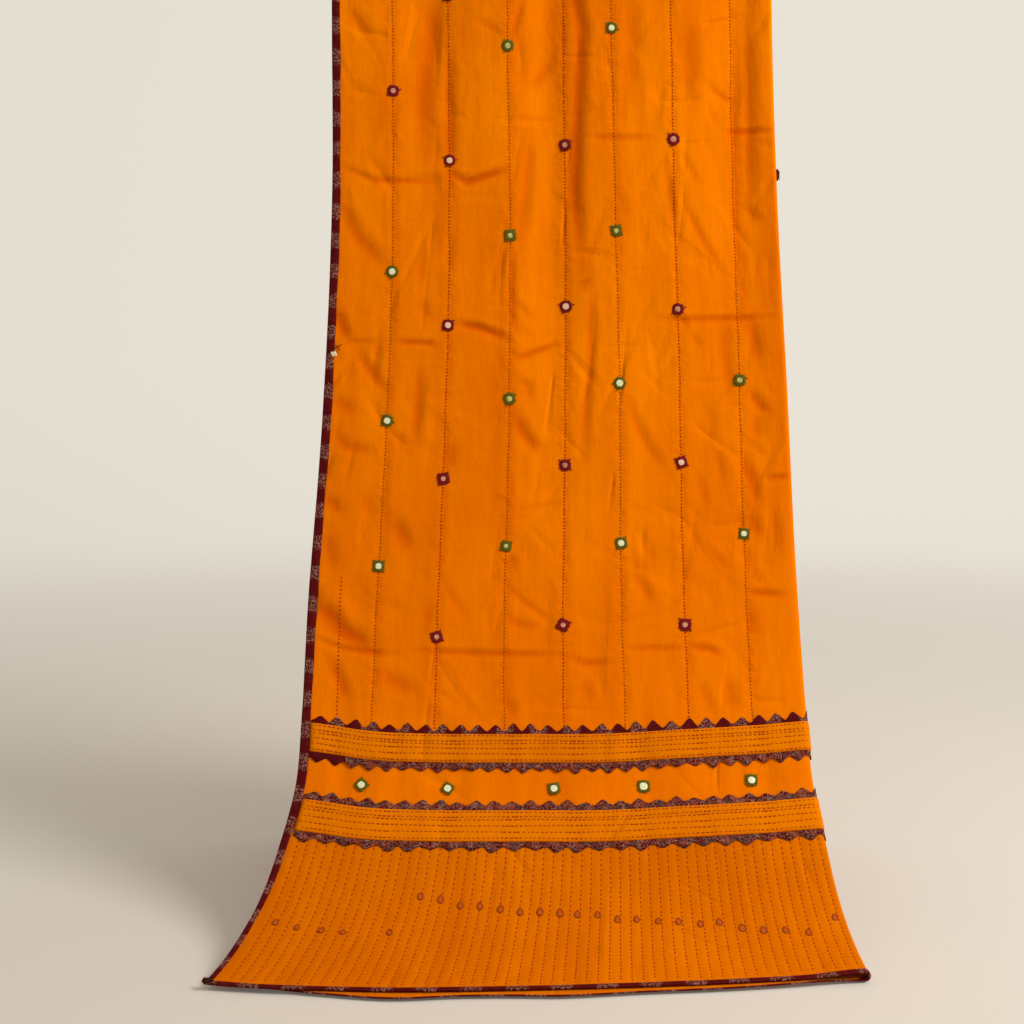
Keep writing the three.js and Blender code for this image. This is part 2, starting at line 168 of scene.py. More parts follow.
def lay_out_drape():
    """Where each arc of the drape starts, with the rod's centre at the origin."""
    rod_angle = math.radians(FRONT_DROP["end_angle"][-1])
    turn_length = TURN_RADIUS * (rod_angle - HANG_ANGLE)
    lengths = np.append(FRONT_DROP["length"], [turn_length, CLOTH_LENGTH])
    angles = np.concatenate([[0], np.radians(FRONT_DROP["end_angle"]), [HANG_ANGLE] * 2])
    bends = np.diff(angles) / lengths
    steps = chord(angles[:-1], bends, lengths)
    places = np.vstack([[0, 0], np.cumsum(steps, axis=0)])[:-1]
    starts = np.concatenate([[0], np.cumsum(lengths)[:-1]])
    side_step = np.array([math.sin(rod_angle), -math.cos(rod_angle)])
    rod_centre = places[len(FRONT_DROP)] + TURN_RADIUS * side_step
    return starts, angles[:-1], bends, places - rod_centre


ARC_STARTS, ARC_ANGLES, ARC_BENDS, ARC_PLACES = lay_out_drape()
ROD_TOP_ALONG = ARC_STARTS[len(FRONT_DROP)] + TURN_RADIUS * math.pi / 2
HEM_Y, HEM_Z = ARC_PLACES[0]


def drape_at(distance):
    """The folded cloth's middle in the side view: its y, its z and its angle."""
    arc = np.clip(np.searchsorted(ARC_STARTS, distance, side="right") - 1, 0, None)
    step = distance - ARC_STARTS[arc]
    bend = np.where(distance < 0, 0, ARC_BENDS[arc])
    place = ARC_PLACES[arc] + chord(ARC_ANGLES[arc], bend, step)
    return place[..., 0], place[..., 1], ARC_ANGLES[arc] + bend * step


def billow(share, along):
    """How far the folded cloth stands out from its smooth drape."""
    from_rod = np.abs(along - ROD_TOP_ALONG)
    hold = smooth(from_rod / ROD_HOLD_REACH)
    strength = TROUGH_SHARE_ON_ROD + (1 - TROUGH_SHARE_ON_ROD) * hold
    out = ROD_LIFT * (1 - smooth(from_rod / ROD_LIFT_REACH))
    for trough in TROUGHS:
        offset = (share - trough["at"]) / trough["width"]
        from_end = np.minimum(along - trough["front_end"], trough["back_end"] - along)
        reach = smooth(from_end / TROUGH_EASE)
        out = out - trough["depth"] * strength * reach * np.exp(-offset ** 2 / 2)
    hem_wave = np.cos(2 * math.pi * BACK_HEM_WAVES * share)
    return out + BACK_HEM_DEPTH * hem_wave * smooth((along - BACK_HEM_START) / BACK_HEM_REACH)


def rise_at(share, along):
    """How far a place is drawn towards the rod of its own drop, as a step along the cloth."""
    border = curve_through(CROSS_RISE, "at", "border", share)
    hem = curve_through(CROSS_RISE, "at", "hem", share)
    front = hem + (border - hem) * smooth(along / HEM_RISE_REACH)
    front = front * smooth((FRONT_RISE_END - along) / RISE_EASE)
    back = -border * smooth((along - BACK_RISE_START) / RISE_EASE)
    return np.where(along > BACK_RISE_START, back, front)


def slip_at(share, is_inner, along):
    """How far the inner layer has slipped towards the front hem."""
    slip = curve_through(HEM_SLIP, "at", "slip", share)
    return np.where(is_inner, slip * (1 - smooth(along / HEM_SLIP_FADE)), 0)


# ---- Creases, placed one by one ----

# A crease runs from place to place along its route. Its width and height are in mm: a height
# below zero is a trough, and it has a low ridge beside it. Both layers share each crease.
PACKING_LINES = [
    (2.7, -1.6, [(2, 910), (46, 891), (116, 890)]),
    (3.2, -3.0, [(134, 899), (148, 890), (191, 903)]),
    (2.7, -1.3, [(281, 937), (356, 937)]),
    (2.7, -1.7, [(436, 945), (498, 944)]),
    (2.7, -1.3, [(22, 715), (50, 717)]),
    (2.6, -1.9, [(71, 718), (112, 717), (119, 712)]),
    (3.2, -2.8, [(139, 738), (164, 734), (195, 722)]),
    (2.6, -2.0, [(199, 707), (207, 702), (247, 717)]),
    (2.7, -1.7, [(357, 743), (395, 741), (483, 743)]),
    (2.8, -1.8, [(467, 565), (493, 566)]),
    (2.7, -1.6, [(6, 394), (35, 387), (66, 388), (93, 387)]),
    (2.7, -1.8, [(105, 392), (159, 390), (198, 389), (254, 388)]),
    (2.8, -1.3, [(322, 393), (374, 390)]),
    (3.2, -1.9, [(384, 391), (403, 388), (416, 380)]),
    (2.8, -1.9, [(266, 386), (277, 379), (303, 380)]),
    (3.0, -1.9, [(445, 445), (481, 439)]),
]
LONG_TROUGHS = [
    (5.4, -3.0, [(267, 1190), (272, 1100), (281, 1053), (274, 951), (270, 882), (276, 813),
                 (277, 779)]),
    (3.4, -1.8, [(288, 790), (287, 751), (285, 687), (280, 640), (278, 590)]),
    (4.0, -1.4, [(457, 1086), (450, 846), (456, 741)]),
    (5.0, -2.0, [(468, 1085), (468, 949), (463, 846)]),
    (7.5, -2.0, [(119, 1100), (110, 1031), (101, 986), (104, 920)]),
    (6.0, -1.5, [(220, 948), (218, 893), (210, 825)]),
    (6.0, -1.4, [(128, 1051), (132, 893)]),
    (5.0, -1.9, [(101, 691), (101, 644), (98, 610)]),
    (6.0, -1.3, [(137, 614), (139, 583)]),
    (6.0, -1.5, [(431, 744), (430, 715), (435, 650)]),
    (5.0, -1.7, [(459, 744), (468, 688)]),
    (7.0, -1.4, [(338, 1084), (336, 982)]),
    (9.0, -1.3, [(398, 1063), (407, 982)]),
]
DRAG_LINES = [
    (4.6, -1.4, [(20, 1074), (44, 1043)]),
    (2.5, -1.7, [(215, 1084), (202, 1043)]),
    (3.1, -1.1, [(164, 1064), (193, 1046)]),
    (4.6, -1.4, [(245, 1021), (224, 989)]),
    (6.1, -1.9, [(2, 879), (28, 831), (61, 797)]),
    (3.1, -1.1, [(191, 821), (180, 784), (177, 767)]),
    (2.5, -1.1, [(199, 818), (200, 743)]),
    (3.1, -1.1, [(201, 767), (219, 743)]),
    (3.1, -1.0, [(294, 847), (284, 796)]),
    (2.5, -0.9, [(272, 779), (286, 786)]),
    (2.5, -1.4, [(419, 1000), (432, 985), (453, 976)]),
    (2.5, -0.9, [(425, 969), (432, 948)]),
    (2.5, -1.0, [(390, 924), (408, 886)]),
    (2.6, -1.4, [(390, 872), (407, 835), (433, 790)]),
    (3.1, -1.3, [(373, 913), (376, 886), (380, 838)]),
    (3.1, -1.0, [(458, 867), (478, 845)]),
    (4.6, -1.1, [(102, 818), (100, 777)]),
    (3.1, -0.9, [(319, 880), (329, 849)]),
    (4.6, -2.3, [(7, 750), (22, 717)]),
    (3.8, -1.9, [(33, 706), (57, 673), (69, 667)]),
    (3.1, -1.4, [(55, 717), (53, 680)]),
    (5.4, -1.4, [(10, 649), (31, 641)]),
    (2.5, -0.7, [(82, 603), (98, 599)]),
    (3.8, -1.3, [(79, 621), (90, 605)]),
    (4.6, -1.6, [(12, 616), (26, 601), (55, 601)]),
    (3.8, -1.0, [(198, 758), (207, 728)]),
    (3.1, -1.4, [(206, 678), (218, 673), (221, 655)]),
    (2.5, -1.0, [(185, 709), (191, 685)]),
    (4.6, -2.3, [(204, 644), (212, 624), (231, 601)]),
    (2.5, -0.6, [(135, 636), (147, 630)]),
    (2.5, -0.6, [(183, 554), (196, 552)]),
    (2.5, -0.7, [(207, 541), (252, 549)]),
    (5.4, -1.7, [(7, 544), (26, 530)]),
    (4.6, -1.1, [(50, 556), (56, 528)]),
    (4.6, -1.1, [(100, 763), (109, 742)]),
    (2.5, -1.3, [(384, 746), (393, 731)]),
    (3.8, -2.3, [(456, 663), (466, 645), (476, 637)]),
    (4.6, -1.4, [(464, 637), (461, 607)]),
    (3.8, -2.3, [(447, 588), (456, 562), (459, 535)]),
    (3.8, -1.4, [(325, 657), (331, 639), (343, 610), (366, 577)]),
    (2.5, -0.6, [(324, 544), (345, 535)]),
    (3.1, -1.0, [(396, 726), (403, 710)]),
    (3.1, -1.0, [(415, 643), (414, 609)]),
    (3.8, -1.3, [(417, 603), (425, 563)]),
    (3.1, -1.0, [(397, 575), (405, 539)]),
    (6.5, -2.0, [(78, 531), (102, 496)]),
    (6.1, -1.5, [(12, 507), (22, 468)]),
    (6.9, -3.2, [(5, 435), (34, 406), (66, 392)]),
    (4.6, -2.1, [(22, 375), (36, 351), (44, 330)]),
    (6.9, -1.7, [(74, 365), (110, 350)]),
    (2.5, -1.0, [(190, 467), (226, 437), (253, 415)]),
    (3.1, -1.0, [(134, 468), (148, 442), (157, 428)]),
    (3.8, -1.4, [(199, 428), (209, 421), (234, 416)]),
    (3.1, -1.1, [(203, 493), (210, 474)]),
    (4.6, -1.0, [(121, 442), (119, 417)]),
    (3.8, -1.3, [(199, 345), (209, 325)]),
    (3.8, -1.4, [(327, 478), (340, 455), (350, 437)]),
    (3.1, -1.1, [(327, 496), (337, 473)]),
    (3.1, -1.0, [(346, 498), (349, 476)]),
    (2.5, 0.9, [(400, 507), (421, 489)]),
    (2.5, -0.9, [(410, 487), (430, 468)]),
    (2.5, -1.1, [(444, 492), (448, 472), (466, 445)]),
    (3.8, -1.4, [(446, 426), (448, 406), (454, 397)]),
    (3.1, -1.1, [(438, 533), (442, 509)]),
    (3.8, -1.9, [(452, 532), (461, 500)]),
    (3.1, -1.4, [(478, 526), (479, 480)]),
    (4.6, -1.4, [(422, 355), (423, 322)]),
    (3.8, -1.0, [(391, 357), (403, 321)]),
    (3.8, -1.0, [(277, 363), (285, 338)]),
    (2.5, -0.7, [(261, 412), (269, 408)]),
]
FRONT_CREASES = PACKING_LINES + LONG_TROUGHS + DRAG_LINES
CREASE_REACH = 4.5
RIDGE_SHARE = 0.35
RIDGE_OFFSET = 1.9
RUN_OUT_SHARE = 0.3


def on_back(crease):
    """A like crease on the back drop, turned end for end and side for side."""
    width, height, route = crease
    return width, height, [(FOLD_ACROSS - a, CLOTH_LENGTH - s) for a, s in route]


CREASES = FRONT_CREASES + [on_back(crease) for crease in FRONT_CREASES]


def gap_to_route(across, along, route):
    """The signed gap from places to a route, and how far along the route the nearest point is."""
    nearest = np.full(across.shape, np.inf)
    side = np.ones(across.shape)
    place = np.zeros(across.shape)
    travelled = 0.0
    for start, end in zip(route, route[1:]):
        length = math.dist(start, end)
        step = ((end[0] - start[0]) / length, (end[1] - start[1]) / length)
        from_start = (across - start[0], along - start[1])
        run = np.clip(from_start[0] * step[0] + from_start[1] * step[1], 0, length)
        gap = np.hypot(from_start[0] - run * step[0], from_start[1] - run * step[1])
        turn = step[0] * from_start[1] - step[1] * from_start[0]
        closer = gap < nearest
        nearest = np.where(closer, gap, nearest)
        side = np.where(closer, np.where(turn < 0, -1.0, 1.0), side)
        place = np.where(closer, travelled + run, place)
        travelled += length
    return nearest * side, place / travelled


def crease_relief(across, along):
    """The height of all creases over the folded cloth."""
    folded = np.where(across > FOLD_ACROSS, CLOTH_WIDTH - across, across)
    relief = np.zeros(along.shape)
    for width, height, route in CREASES:
        ends = np.array(route)
        low = ends.min(axis=0) - CREASE_REACH * width
        high = ends.max(axis=0) + CREASE_REACH * width
        near = ((folded > low[0]) & (folded < high[0]) & (along > low[1]) & (along < high[1]))
        if near.any():
            gap, place = gap_to_route(folded[near], along[near], route)
            gap = gap / width
            from_end = np.minimum(place, 1 - place) / RUN_OUT_SHARE
            strength = height * (0.3 + 0.7 * smooth(from_end))
            ridge = RIDGE_SHARE * np.exp(-(gap - RIDGE_OFFSET) ** 2 / 2)
            relief[near] += strength * (np.exp(-gap ** 2 / 2) - ridge)
    return relief


# Lines of small running stitches run down the field. Those of the outer layer are given where
# the field meets the border and where it reaches the rod, and the inner layer has the same ones.
STITCH_LINES = table(("at_border", "at_rod", "is_green"), [
    (68, 67, 1), (130, 130, 0), (198, 197, 1), (257, 261, 0), (317, 314, 1), (380, 382, 0),
    (443, 450, 1), (512, 512, 0),
])
# The mirrors on each stitch line, as places along the front drop. The back drop has like ones.
MIRROR_ROWS = (
    (478, 633, 793, 987, 1170),
    (406, 573, 736, 913, 1090, 1255),
    (502, 658, 832, 1035, 1205),
    (419, 588, 757, 930, 1105, 1270),
    (504, 674, 837, 1054, 1220),
    (414, 587, 752, 935, 1110, 1275),
    (507, 674, 1195),
    (395, 560, 730, 1085, 1250),
)
# How each of those mirrors looks, as in RING_SHAPES
MIRROR_LOOKS = ("SRRrR", "ssSRrS", "srsrR", "ssRrRs", "SRsRr", "sSrrRS", "SrR", "SrRsR")
LAST_ROW_WITH_A_LIKE_ONE = 1160
BACK_MIRROR_SHIFT = 9.0
MIRROR_FLAT_REACH = 9.0
PUCKER_WIDTH = 3.2
PUCKER_DEPTH = 1.2


def mirrors_on_line(number):
    front = np.array(MIRROR_ROWS[number], dtype=float)
    shift = BACK_MIRROR_SHIFT * math.sin(number * 2.3)
    back = CLOTH_LENGTH - front[front < LAST_ROW_WITH_A_LIKE_ONE] + shift
    return np.concatenate([front, back])


def line_across(line, along):
    """Where a stitch line of the field lies at each place along the cloth."""
    from_border = np.minimum(along, CLOTH_LENGTH - along) - UPPER_BAND[1]
    share = smooth(from_border / (TURN_START - UPPER_BAND[1]))
    return line["at_border"] + (line["at_rod"] - line["at_border"]) * share


def near_stitch_lines(across, along, width):
    """1 on the field's stitch lines, falling to 0 beside them. The pull varies along each line."""
    folded = np.where(across > FOLD_ACROSS, CLOTH_WIDTH - across, across)
    in_field = smooth((np.minimum(along, CLOTH_LENGTH - along) - UPPER_BAND[1]) / 30)
    near = np.zeros(along.shape)
    for number, line in enumerate(STITCH_LINES):
        gap = (folded - line_across(line, along)) / width
        pull = 0.8 + 0.3 * np.sin(along / 21 + number * 2.1) * np.sin(along / 67 + number)
        for mirror in mirrors_on_line(number):
            pull = pull * (1 - np.exp(-((along - mirror) / MIRROR_FLAT_REACH) ** 4))
        near += pull * np.exp(-gap ** 2 / 2)
    return near * in_field


def pucker(across, along):
    """The small furrow that each stitch line draws in the field."""
    return -PUCKER_DEPTH * near_stitch_lines(across, along, PUCKER_WIDTH)


# ---- The surface with its creases ----

def right_side(across, along):
    """Points on the cloth's right side, for arrays of places."""
    across, along = np.broadcast_arrays(across, along)
    from_fold = np.abs(across - FOLD_ACROSS)
    is_inner = across > FOLD_ACROSS
    in_fold = from_fold < FOLD_HALF_WIDTH
    outer_left = curve_through(OUTLINE, "along", "left", along)
    left = outer_left + np.where(is_inner, INNER_EDGE_INSET, 0)
    right = curve_through(OUTLINE, "along", "right", along) - FOLD_RADIUS
    turn = (across - FOLD_ACROSS + FOLD_HALF_WIDTH) / (2 * FOLD_HALF_WIDTH) * math.pi
    share = (FOLD_ACROSS - from_fold) / FLAT_WIDTH
    ease = 1 - smooth((from_fold - FOLD_HALF_WIDTH) / FOLD_EASE_WIDTH)
    half_gap = HEM_HALF_GAP + (LAYER_HALF_GAP - HEM_HALF_GAP) * smooth(along / HEM_GAP_REACH)
    flat_height = half_gap + (FOLD_RADIUS - half_gap) * ease
    flat_height = np.where(is_inner, -flat_height, flat_height)
    x = np.where(in_fold, right + FOLD_RADIUS * np.sin(turn), left + (right - left) * share)
    height = np.where(in_fold, FOLD_RADIUS * np.cos(turn), flat_height)
    width_share = (x - outer_left) / (right - outer_left)
    distance = along + rise_at(width_share, along) - slip_at(width_share, is_inner, along)
    y, z, angle = drape_at(distance)
    out = height + billow(width_share, along) + crease_relief(across, along) + pucker(across, along)
    return np.stack([x, y - np.sin(angle) * out, z + np.cos(angle) * out], axis=-1)


SLOPE_STEP = 0.5


def unit(vectors):
    return vectors / np.linalg.norm(vectors, axis=-1, keepdims=True)


def frames_at(across, along):
    """Points on the right side with their unit directions across, along and outwards."""
    point = right_side(across, along)
    across_step = right_side(across + SLOPE_STEP, along) - right_side(across - SLOPE_STEP, along)
    along_step = right_side(across, along + SLOPE_STEP) - right_side(across, along - SLOPE_STEP)
    out = unit(np.cross(across_step, along_step))
    return point, unit(across_step), unit(along_step), out


# ---- Meshes ----

def new_piece(name, points, faces, materials, coordinates=None, flat_from=None):
    """A mesh object from points in mm. Its faces are smooth up to the number flat_from."""
    mesh = bpy.data.meshes.new(name)
    mesh.from_pydata((points * METRES_PER_MM).tolist(), [], [list(face) for face in faces])
    smooth_faces = np.ones(len(faces), dtype=bool)
    if flat_from is not None:
        smooth_faces[flat_from:] = False
    mesh.polygons.foreach_set("use_smooth", smooth_faces)
    if coordinates is not None:
        layer = mesh.uv_layers.new(name="cloth")
        corner = np.empty(len(mesh.loops), dtype=np.int32)
        mesh.loops.foreach_get("vertex_index", corner)
        layer.data.foreach_set("uv", (coordinates[corner] * METRES_PER_MM).ravel())
    mesh.update()
    piece = bpy.data.objects.new(name, mesh)
    for material in materials:
        mesh.materials.append(material)
    bpy.context.scene.collection.objects.link(piece)
    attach(piece, "root")
    return piece


def grid_faces(rows, columns, start=0):
    """Quads over a grid of points, row after row."""
    corner = start + np.arange(rows * columns).reshape(rows, columns)
    quads = [corner[:-1, :-1], corner[:-1, 1:], corner[1:, 1:], corner[1:, :-1]]
    return np.stack(quads, axis=-1).reshape(-1, 4)


def rim_faces(corner, row_picks, column_picks, inner_corner):
    """Faces that join the right side's edge to the wrong side's, which has fewer points."""
    faces = []

    def join(right, wrong, picks):
        for i, (start, end) in enumerate(zip(picks[:-1], picks[1:])):
            run = right[start:end + 1].tolist()
            faces.append(run[::-1] + [wrong[i], wrong[i + 1]])

    join(corner[0], inner_corner[0], column_picks)
    join(corner[:, -1], inner_corner[:, -1], row_picks)
    join(corner[-1, ::-1], inner_corner[-1, ::-1], len(corner[0]) - 1 - column_picks[::-1])
    join(corner[::-1, 0], inner_corner[::-1, 0], len(corner) - 1 - row_picks[::-1])
    return faces


def cloth_shell(name, across, along, wall, material, relief=0.0, picks=None):
    """A closed thin shell over a grid of places, with its right side raised by a relief. picks
    gives the rows and columns that its wrong side keeps, or all of them."""
    across, along = np.broadcast_arrays(across, along)
    rows, columns = across.shape
    row_picks, column_picks = picks or (np.arange(rows), np.arange(columns))
    point, _, _, out = frames_at(across, along)
    low, high = wall
    lift = np.broadcast_to(relief, across.shape)[..., None]
    kept = np.ix_(row_picks, column_picks)
    wrong_side = (point + out * (low + np.minimum(lift, 0)))[kept]
    points = np.concatenate([(point + out * (high + lift)).reshape(-1, 3), wrong_side.reshape(-1, 3)])
    corner = np.arange(rows * columns).reshape(rows, columns)
    inner_corner = rows * columns + np.arange(wrong_side[..., 0].size).reshape(wrong_side.shape[:2])
    faces = grid_faces(rows, columns).tolist()
    faces += grid_faces(*inner_corner.shape, rows * columns)[:, ::-1].tolist()
    flat_from = len(faces)
    faces += rim_faces(corner, row_picks, column_picks, inner_corner)
    places = np.stack([across, along], axis=-1)
    coordinates = np.concatenate([places.reshape(-1, 2), places[kept].reshape(-1, 2)])
    return new_piece(name, points, faces, [material], coordinates, flat_from)


def spaced(start, end, step):
    """Even steps from start to end, as near to the given step as they fit."""
    return np.linspace(start, end, max(2, round(abs(end - start) / step) + 1))


def joined(*parts):
    return np.concatenate([parts[0]] + [part[1:] for part in parts[1:]])


FOLD_STEP = 1.45


def cloth_columns(outer_step, inner_step, margin=0.0):
    """Places across both layers, close together round the fold."""
    fold = spaced(FLAT_WIDTH, CLOTH_WIDTH - FLAT_WIDTH, FOLD_STEP)
    outer = spaced(margin, FLAT_WIDTH, outer_step)
    inner = spaced(CLOTH_WIDTH - FLAT_WIDTH, CLOTH_WIDTH - margin, inner_step)
    return joined(outer, fold, inner)


def from_hem(end, distance):
    return distance if end == "front" else CLOTH_LENGTH - distance


# ---- Materials ----

COTTON = {"light": (0.93, 0.225, 0.0), "deep": (0.76, 0.148, 0.0)}
# Painted shade: the end panels' cotton is a darker copy of the field's, for the shade at the low ends
# of the cloth
PANEL_SHADED = {"light": (0.72, 0.170, 0.0), "deep": (0.58, 0.115, 0.0)}
BAND = {"light": (0.80, 0.205, 0.0), "deep": (0.66, 0.155, 0.0)}
MAROON = (0.082, 0.003, 0.004)
PRINT_GREY = (0.30, 0.15, 0.105)
THREAD_COLOURS = {
    "maroon": (0.16, 0.007, 0.008),
    "green": (0.105, 0.086, 0.006),
    "rust": (0.36, 0.062, 0.003),
    "brown": (0.21, 0.036, 0.005),
    "dark": (0.028, 0.005, 0.003),
    "orange_red": (0.36, 0.046, 0.002),
    "red_maroon": (0.40, 0.070, 0.004),
    "red_brown": (0.34, 0.024, 0.001),
    "olive_brown": (0.30, 0.072, 0.002),
    "cream": (0.80, 0.66, 0.42),
}


class Shading:
    """A material's node tree, with short ways to add and link nodes."""

    def __init__(self, name):
        self.material = bpy.data.materials.new(name)
        self.material.use_nodes = True
        self.tree = self.material.node_tree
        self.tree.nodes.clear()
        self.surface = self.add("ShaderNodeBsdfPrincipled")
        output = self.add("ShaderNodeOutputMaterial")
        self.tree.links.new(self.surface.outputs["BSDF"], output.inputs["Surface"])

    def add(self, kind, sockets=None, **settings):
        node = self.tree.nodes.new(kind)
        for key, value in settings.items():
            setattr(node, key, value)
        for key, value in (sockets or {}).items():
            self.feed(node.inputs[key], value)
        return node

    def feed(self, socket, value):
        if isinstance(value, bpy.types.NodeSocket):
            self.tree.links.new(value, socket)
        elif isinstance(value, tuple) and len(value) == 3 and socket.type == "RGBA":
            socket.default_value = (*value, 1.0)
        else:
            socket.default_value = value

    def finish(self, **sockets):
        for key, value in sockets.items():
            self.feed(self.surface.inputs[key.replace("_", " ")], value)
        return self.material

    def cloth_place(self):
        return self.add("ShaderNodeUVMap", uv_map="cloth").outputs["UV"]

    def body_place(self):
        return self.add("ShaderNodeTexCoord").outputs["Object"]

    def stretched(self, place, scale):
        return self.add("ShaderNodeMapping", {"Vector": place, "Scale": scale}).outputs["Vector"]

    def turned(self, place, angle):
        mapping = self.add("ShaderNodeMapping", {"Vector": place, "Rotation": (0, 0, angle)})
        return mapping.outputs["Vector"]

    def noise(self, place, scale=1.0, detail=3.0, roughness=0.5):
        node = self.add("ShaderNodeTexNoise", {
            "Vector": place, "Scale": scale, "Detail": detail, "Roughness": roughness})
        return node.outputs["Fac"]

    def range(self, value, low, high, to_low=0.0, to_high=1.0):
        node = self.add("ShaderNodeMapRange", {
            "Value": value, "From Min": low, "From Max": high,
            "To Min": to_low, "To Max": to_high})
        return node.outputs["Result"]

    def math(self, operation, first, second=0.0, third=0.0):
        node = self.add("ShaderNodeMath", {0: first, 1: second, 2: third}, operation=operation)
        return node.outputs["Value"]

    def mix(self, share, first, second, blend="MIX"):
        node = self.add("ShaderNodeMix", {0: share, 6: first, 7: second},
                        data_type="RGBA", blend_type=blend)
        return node.outputs[2]

    def bump(self, height, distance, strength=1.0, before=None):
        sockets = {"Height": height, "Distance": distance, "Strength": strength}
        if before is not None:
            sockets["Normal"] = before
        return self.add("ShaderNodeBump", sockets).outputs["Normal"]


# Fine sharp creases run in a few directions: each has its turn in degrees, its closeness
# across and along itself, and the share of the cloth that is free of it
FINE_CREASES = (
    (38, (11, 2.6, 1), 0.52),
    (-42, (12, 3.0, 1), 0.54),
    (6, (15, 1.9, 1), 0.50),
    (82, (13, 3.2, 1), 0.53),
)
FINE_CREASE_WIDTH = 0.045
FINE_CREASE_DEPTH = 0.0012


def fine_creases(shading, place):
    """The height of the cloth in its fine creases, where an even noise passes its middle value."""
    height = 1.0
    for number, (turn, scale, free) in enumerate(FINE_CREASES):
        turned = shading.turned(place, math.radians(turn))
        noise = shading.noise(shading.stretched(turned, scale), detail=1.5)
        from_middle = shading.math("ABSOLUTE", shading.math("SUBTRACT", noise, 0.5))
        rise = shading.range(from_middle, 0.0, FINE_CREASE_WIDTH)
        there = shading.range(shading.noise(place, 7 + 2 * number, 1), free, free + 0.12)
        rise = shading.math("MULTIPLY", shading.math("SUBTRACT", 1.0, rise), there)
        height = shading.math("SUBTRACT", height, rise)
    return height


# How close the cotton's threads, streaks, rumples and gathers are, across and along, to a metre
WARP = (900, 28, 1)
WEFT = (30, 950, 1)
STREAKS = (38, 2.5, 1)
RUMPLES = (24, 10, 1)
GATHERS = (75, 95, 1)
# The deep red of the painted shade down in the creases and beside the stitch lines
CREASE_SHADE_RED = (0.66, 0.10, 0.0)
SHEEN_ORANGE = (1.0, 0.45, 0.0)
# Painted shade for the low cloth near the hems: the field's colour is deepest up to the first of
# these distances from a hem, and has its own lightness beyond the second, in metres
HEM_SHADE_REACH = (0.40, 0.85)


def cotton_material(name, light, deep, painted_shade_at_hems=0.0):
    """Thin plain-weave cotton: uneven threads both ways and soft rumples. It has painted shade: a
    deep red down in its creases and beside the stitch lines, and its deep colour near the hems
    as far as painted_shade_at_hems gives. It is finely gathered beside the stitch lines."""
    shading = Shading(name)
    place = shading.cloth_place()
    warp = shading.noise(shading.stretched(place, WARP), detail=2)
    weft = shading.noise(shading.stretched(place, WEFT), detail=2)
    threads = shading.math("ADD", warp, weft)
    cloud = shading.noise(place, 4.5, 4)
    streak = shading.noise(shading.stretched(place, STREAKS), detail=3)
    shade = shading.math("MULTIPLY_ADD", streak, 0.8, cloud)
    shade = shading.math("MULTIPLY_ADD", threads, 0.3, shade)
    colour = shading.mix(shading.range(shade, 0.95, 1.5), deep, light)
    axes = shading.add("ShaderNodeSeparateXYZ", {"Vector": place})
    # Painted shade: the colour is mixed towards its deep one near both hems
    from_hem_m = shading.math("PINGPONG", axes.outputs["Y"], CLOTH_LENGTH / 2 * METRES_PER_MM)
    deeper = shading.range(from_hem_m, *HEM_SHADE_REACH, painted_shade_at_hems, 0.0)
    colour = shading.mix(deeper, colour, deep)
    crease_shade = shading.add("ShaderNodeAttribute", attribute_name="crease_shade").outputs["Fac"]
    gathered_and_shaded = shading.add("ShaderNodeAttribute", attribute_name="gathered_and_shaded").outputs["Fac"]
    # Painted shade: the colour is mixed towards a deep red down in the creases and in the furrows
    # beside the stitch lines
    painted_shade = shading.math("MULTIPLY_ADD", gathered_and_shaded, 0.25, crease_shade)
    colour = shading.mix(painted_shade, colour, CREASE_SHADE_RED)
    rumple = shading.noise(shading.stretched(place, RUMPLES), detail=4, roughness=0.55)
    normal = shading.bump(rumple, 0.005, 0.6)
    normal = shading.bump(fine_creases(shading, place), FINE_CREASE_DEPTH, 1.0, normal)
    gathers = shading.noise(shading.stretched(place, GATHERS), detail=3)
    gathers = shading.math("MULTIPLY", gathers, gathered_and_shaded)
    normal = shading.bump(gathers, 0.004, 0.6, normal)
    normal = shading.bump(threads, 0.00012, 0.5, normal)
    return shading.finish(Base_Color=colour, Roughness=0.85, Normal=normal,
                          Sheen_Weight=0.05, Sheen_Tint=SHEEN_ORANGE, Specular_IOR_Level=0.0)


# The printed cottons: the pitch of their medallions in metres, how close their squiggles are,
# and the colour of the patches between them
SPACED_PRINT = {"pitch": 0.033, "closeness": 380.0, "patch": (0.10, 0.005, 0.006)}
DENSE_PRINT = {"pitch": 0.0155, "closeness": 310.0, "patch": (0.22, 0.032, 0.012)}
DARK_BLOTCH = (0.048, 0.025, 0.025)
MEDALLION_SPREAD = 0.0052
MEDALLION_WANDER = 0.011
MEDALLION_SOFTNESS = 0.001


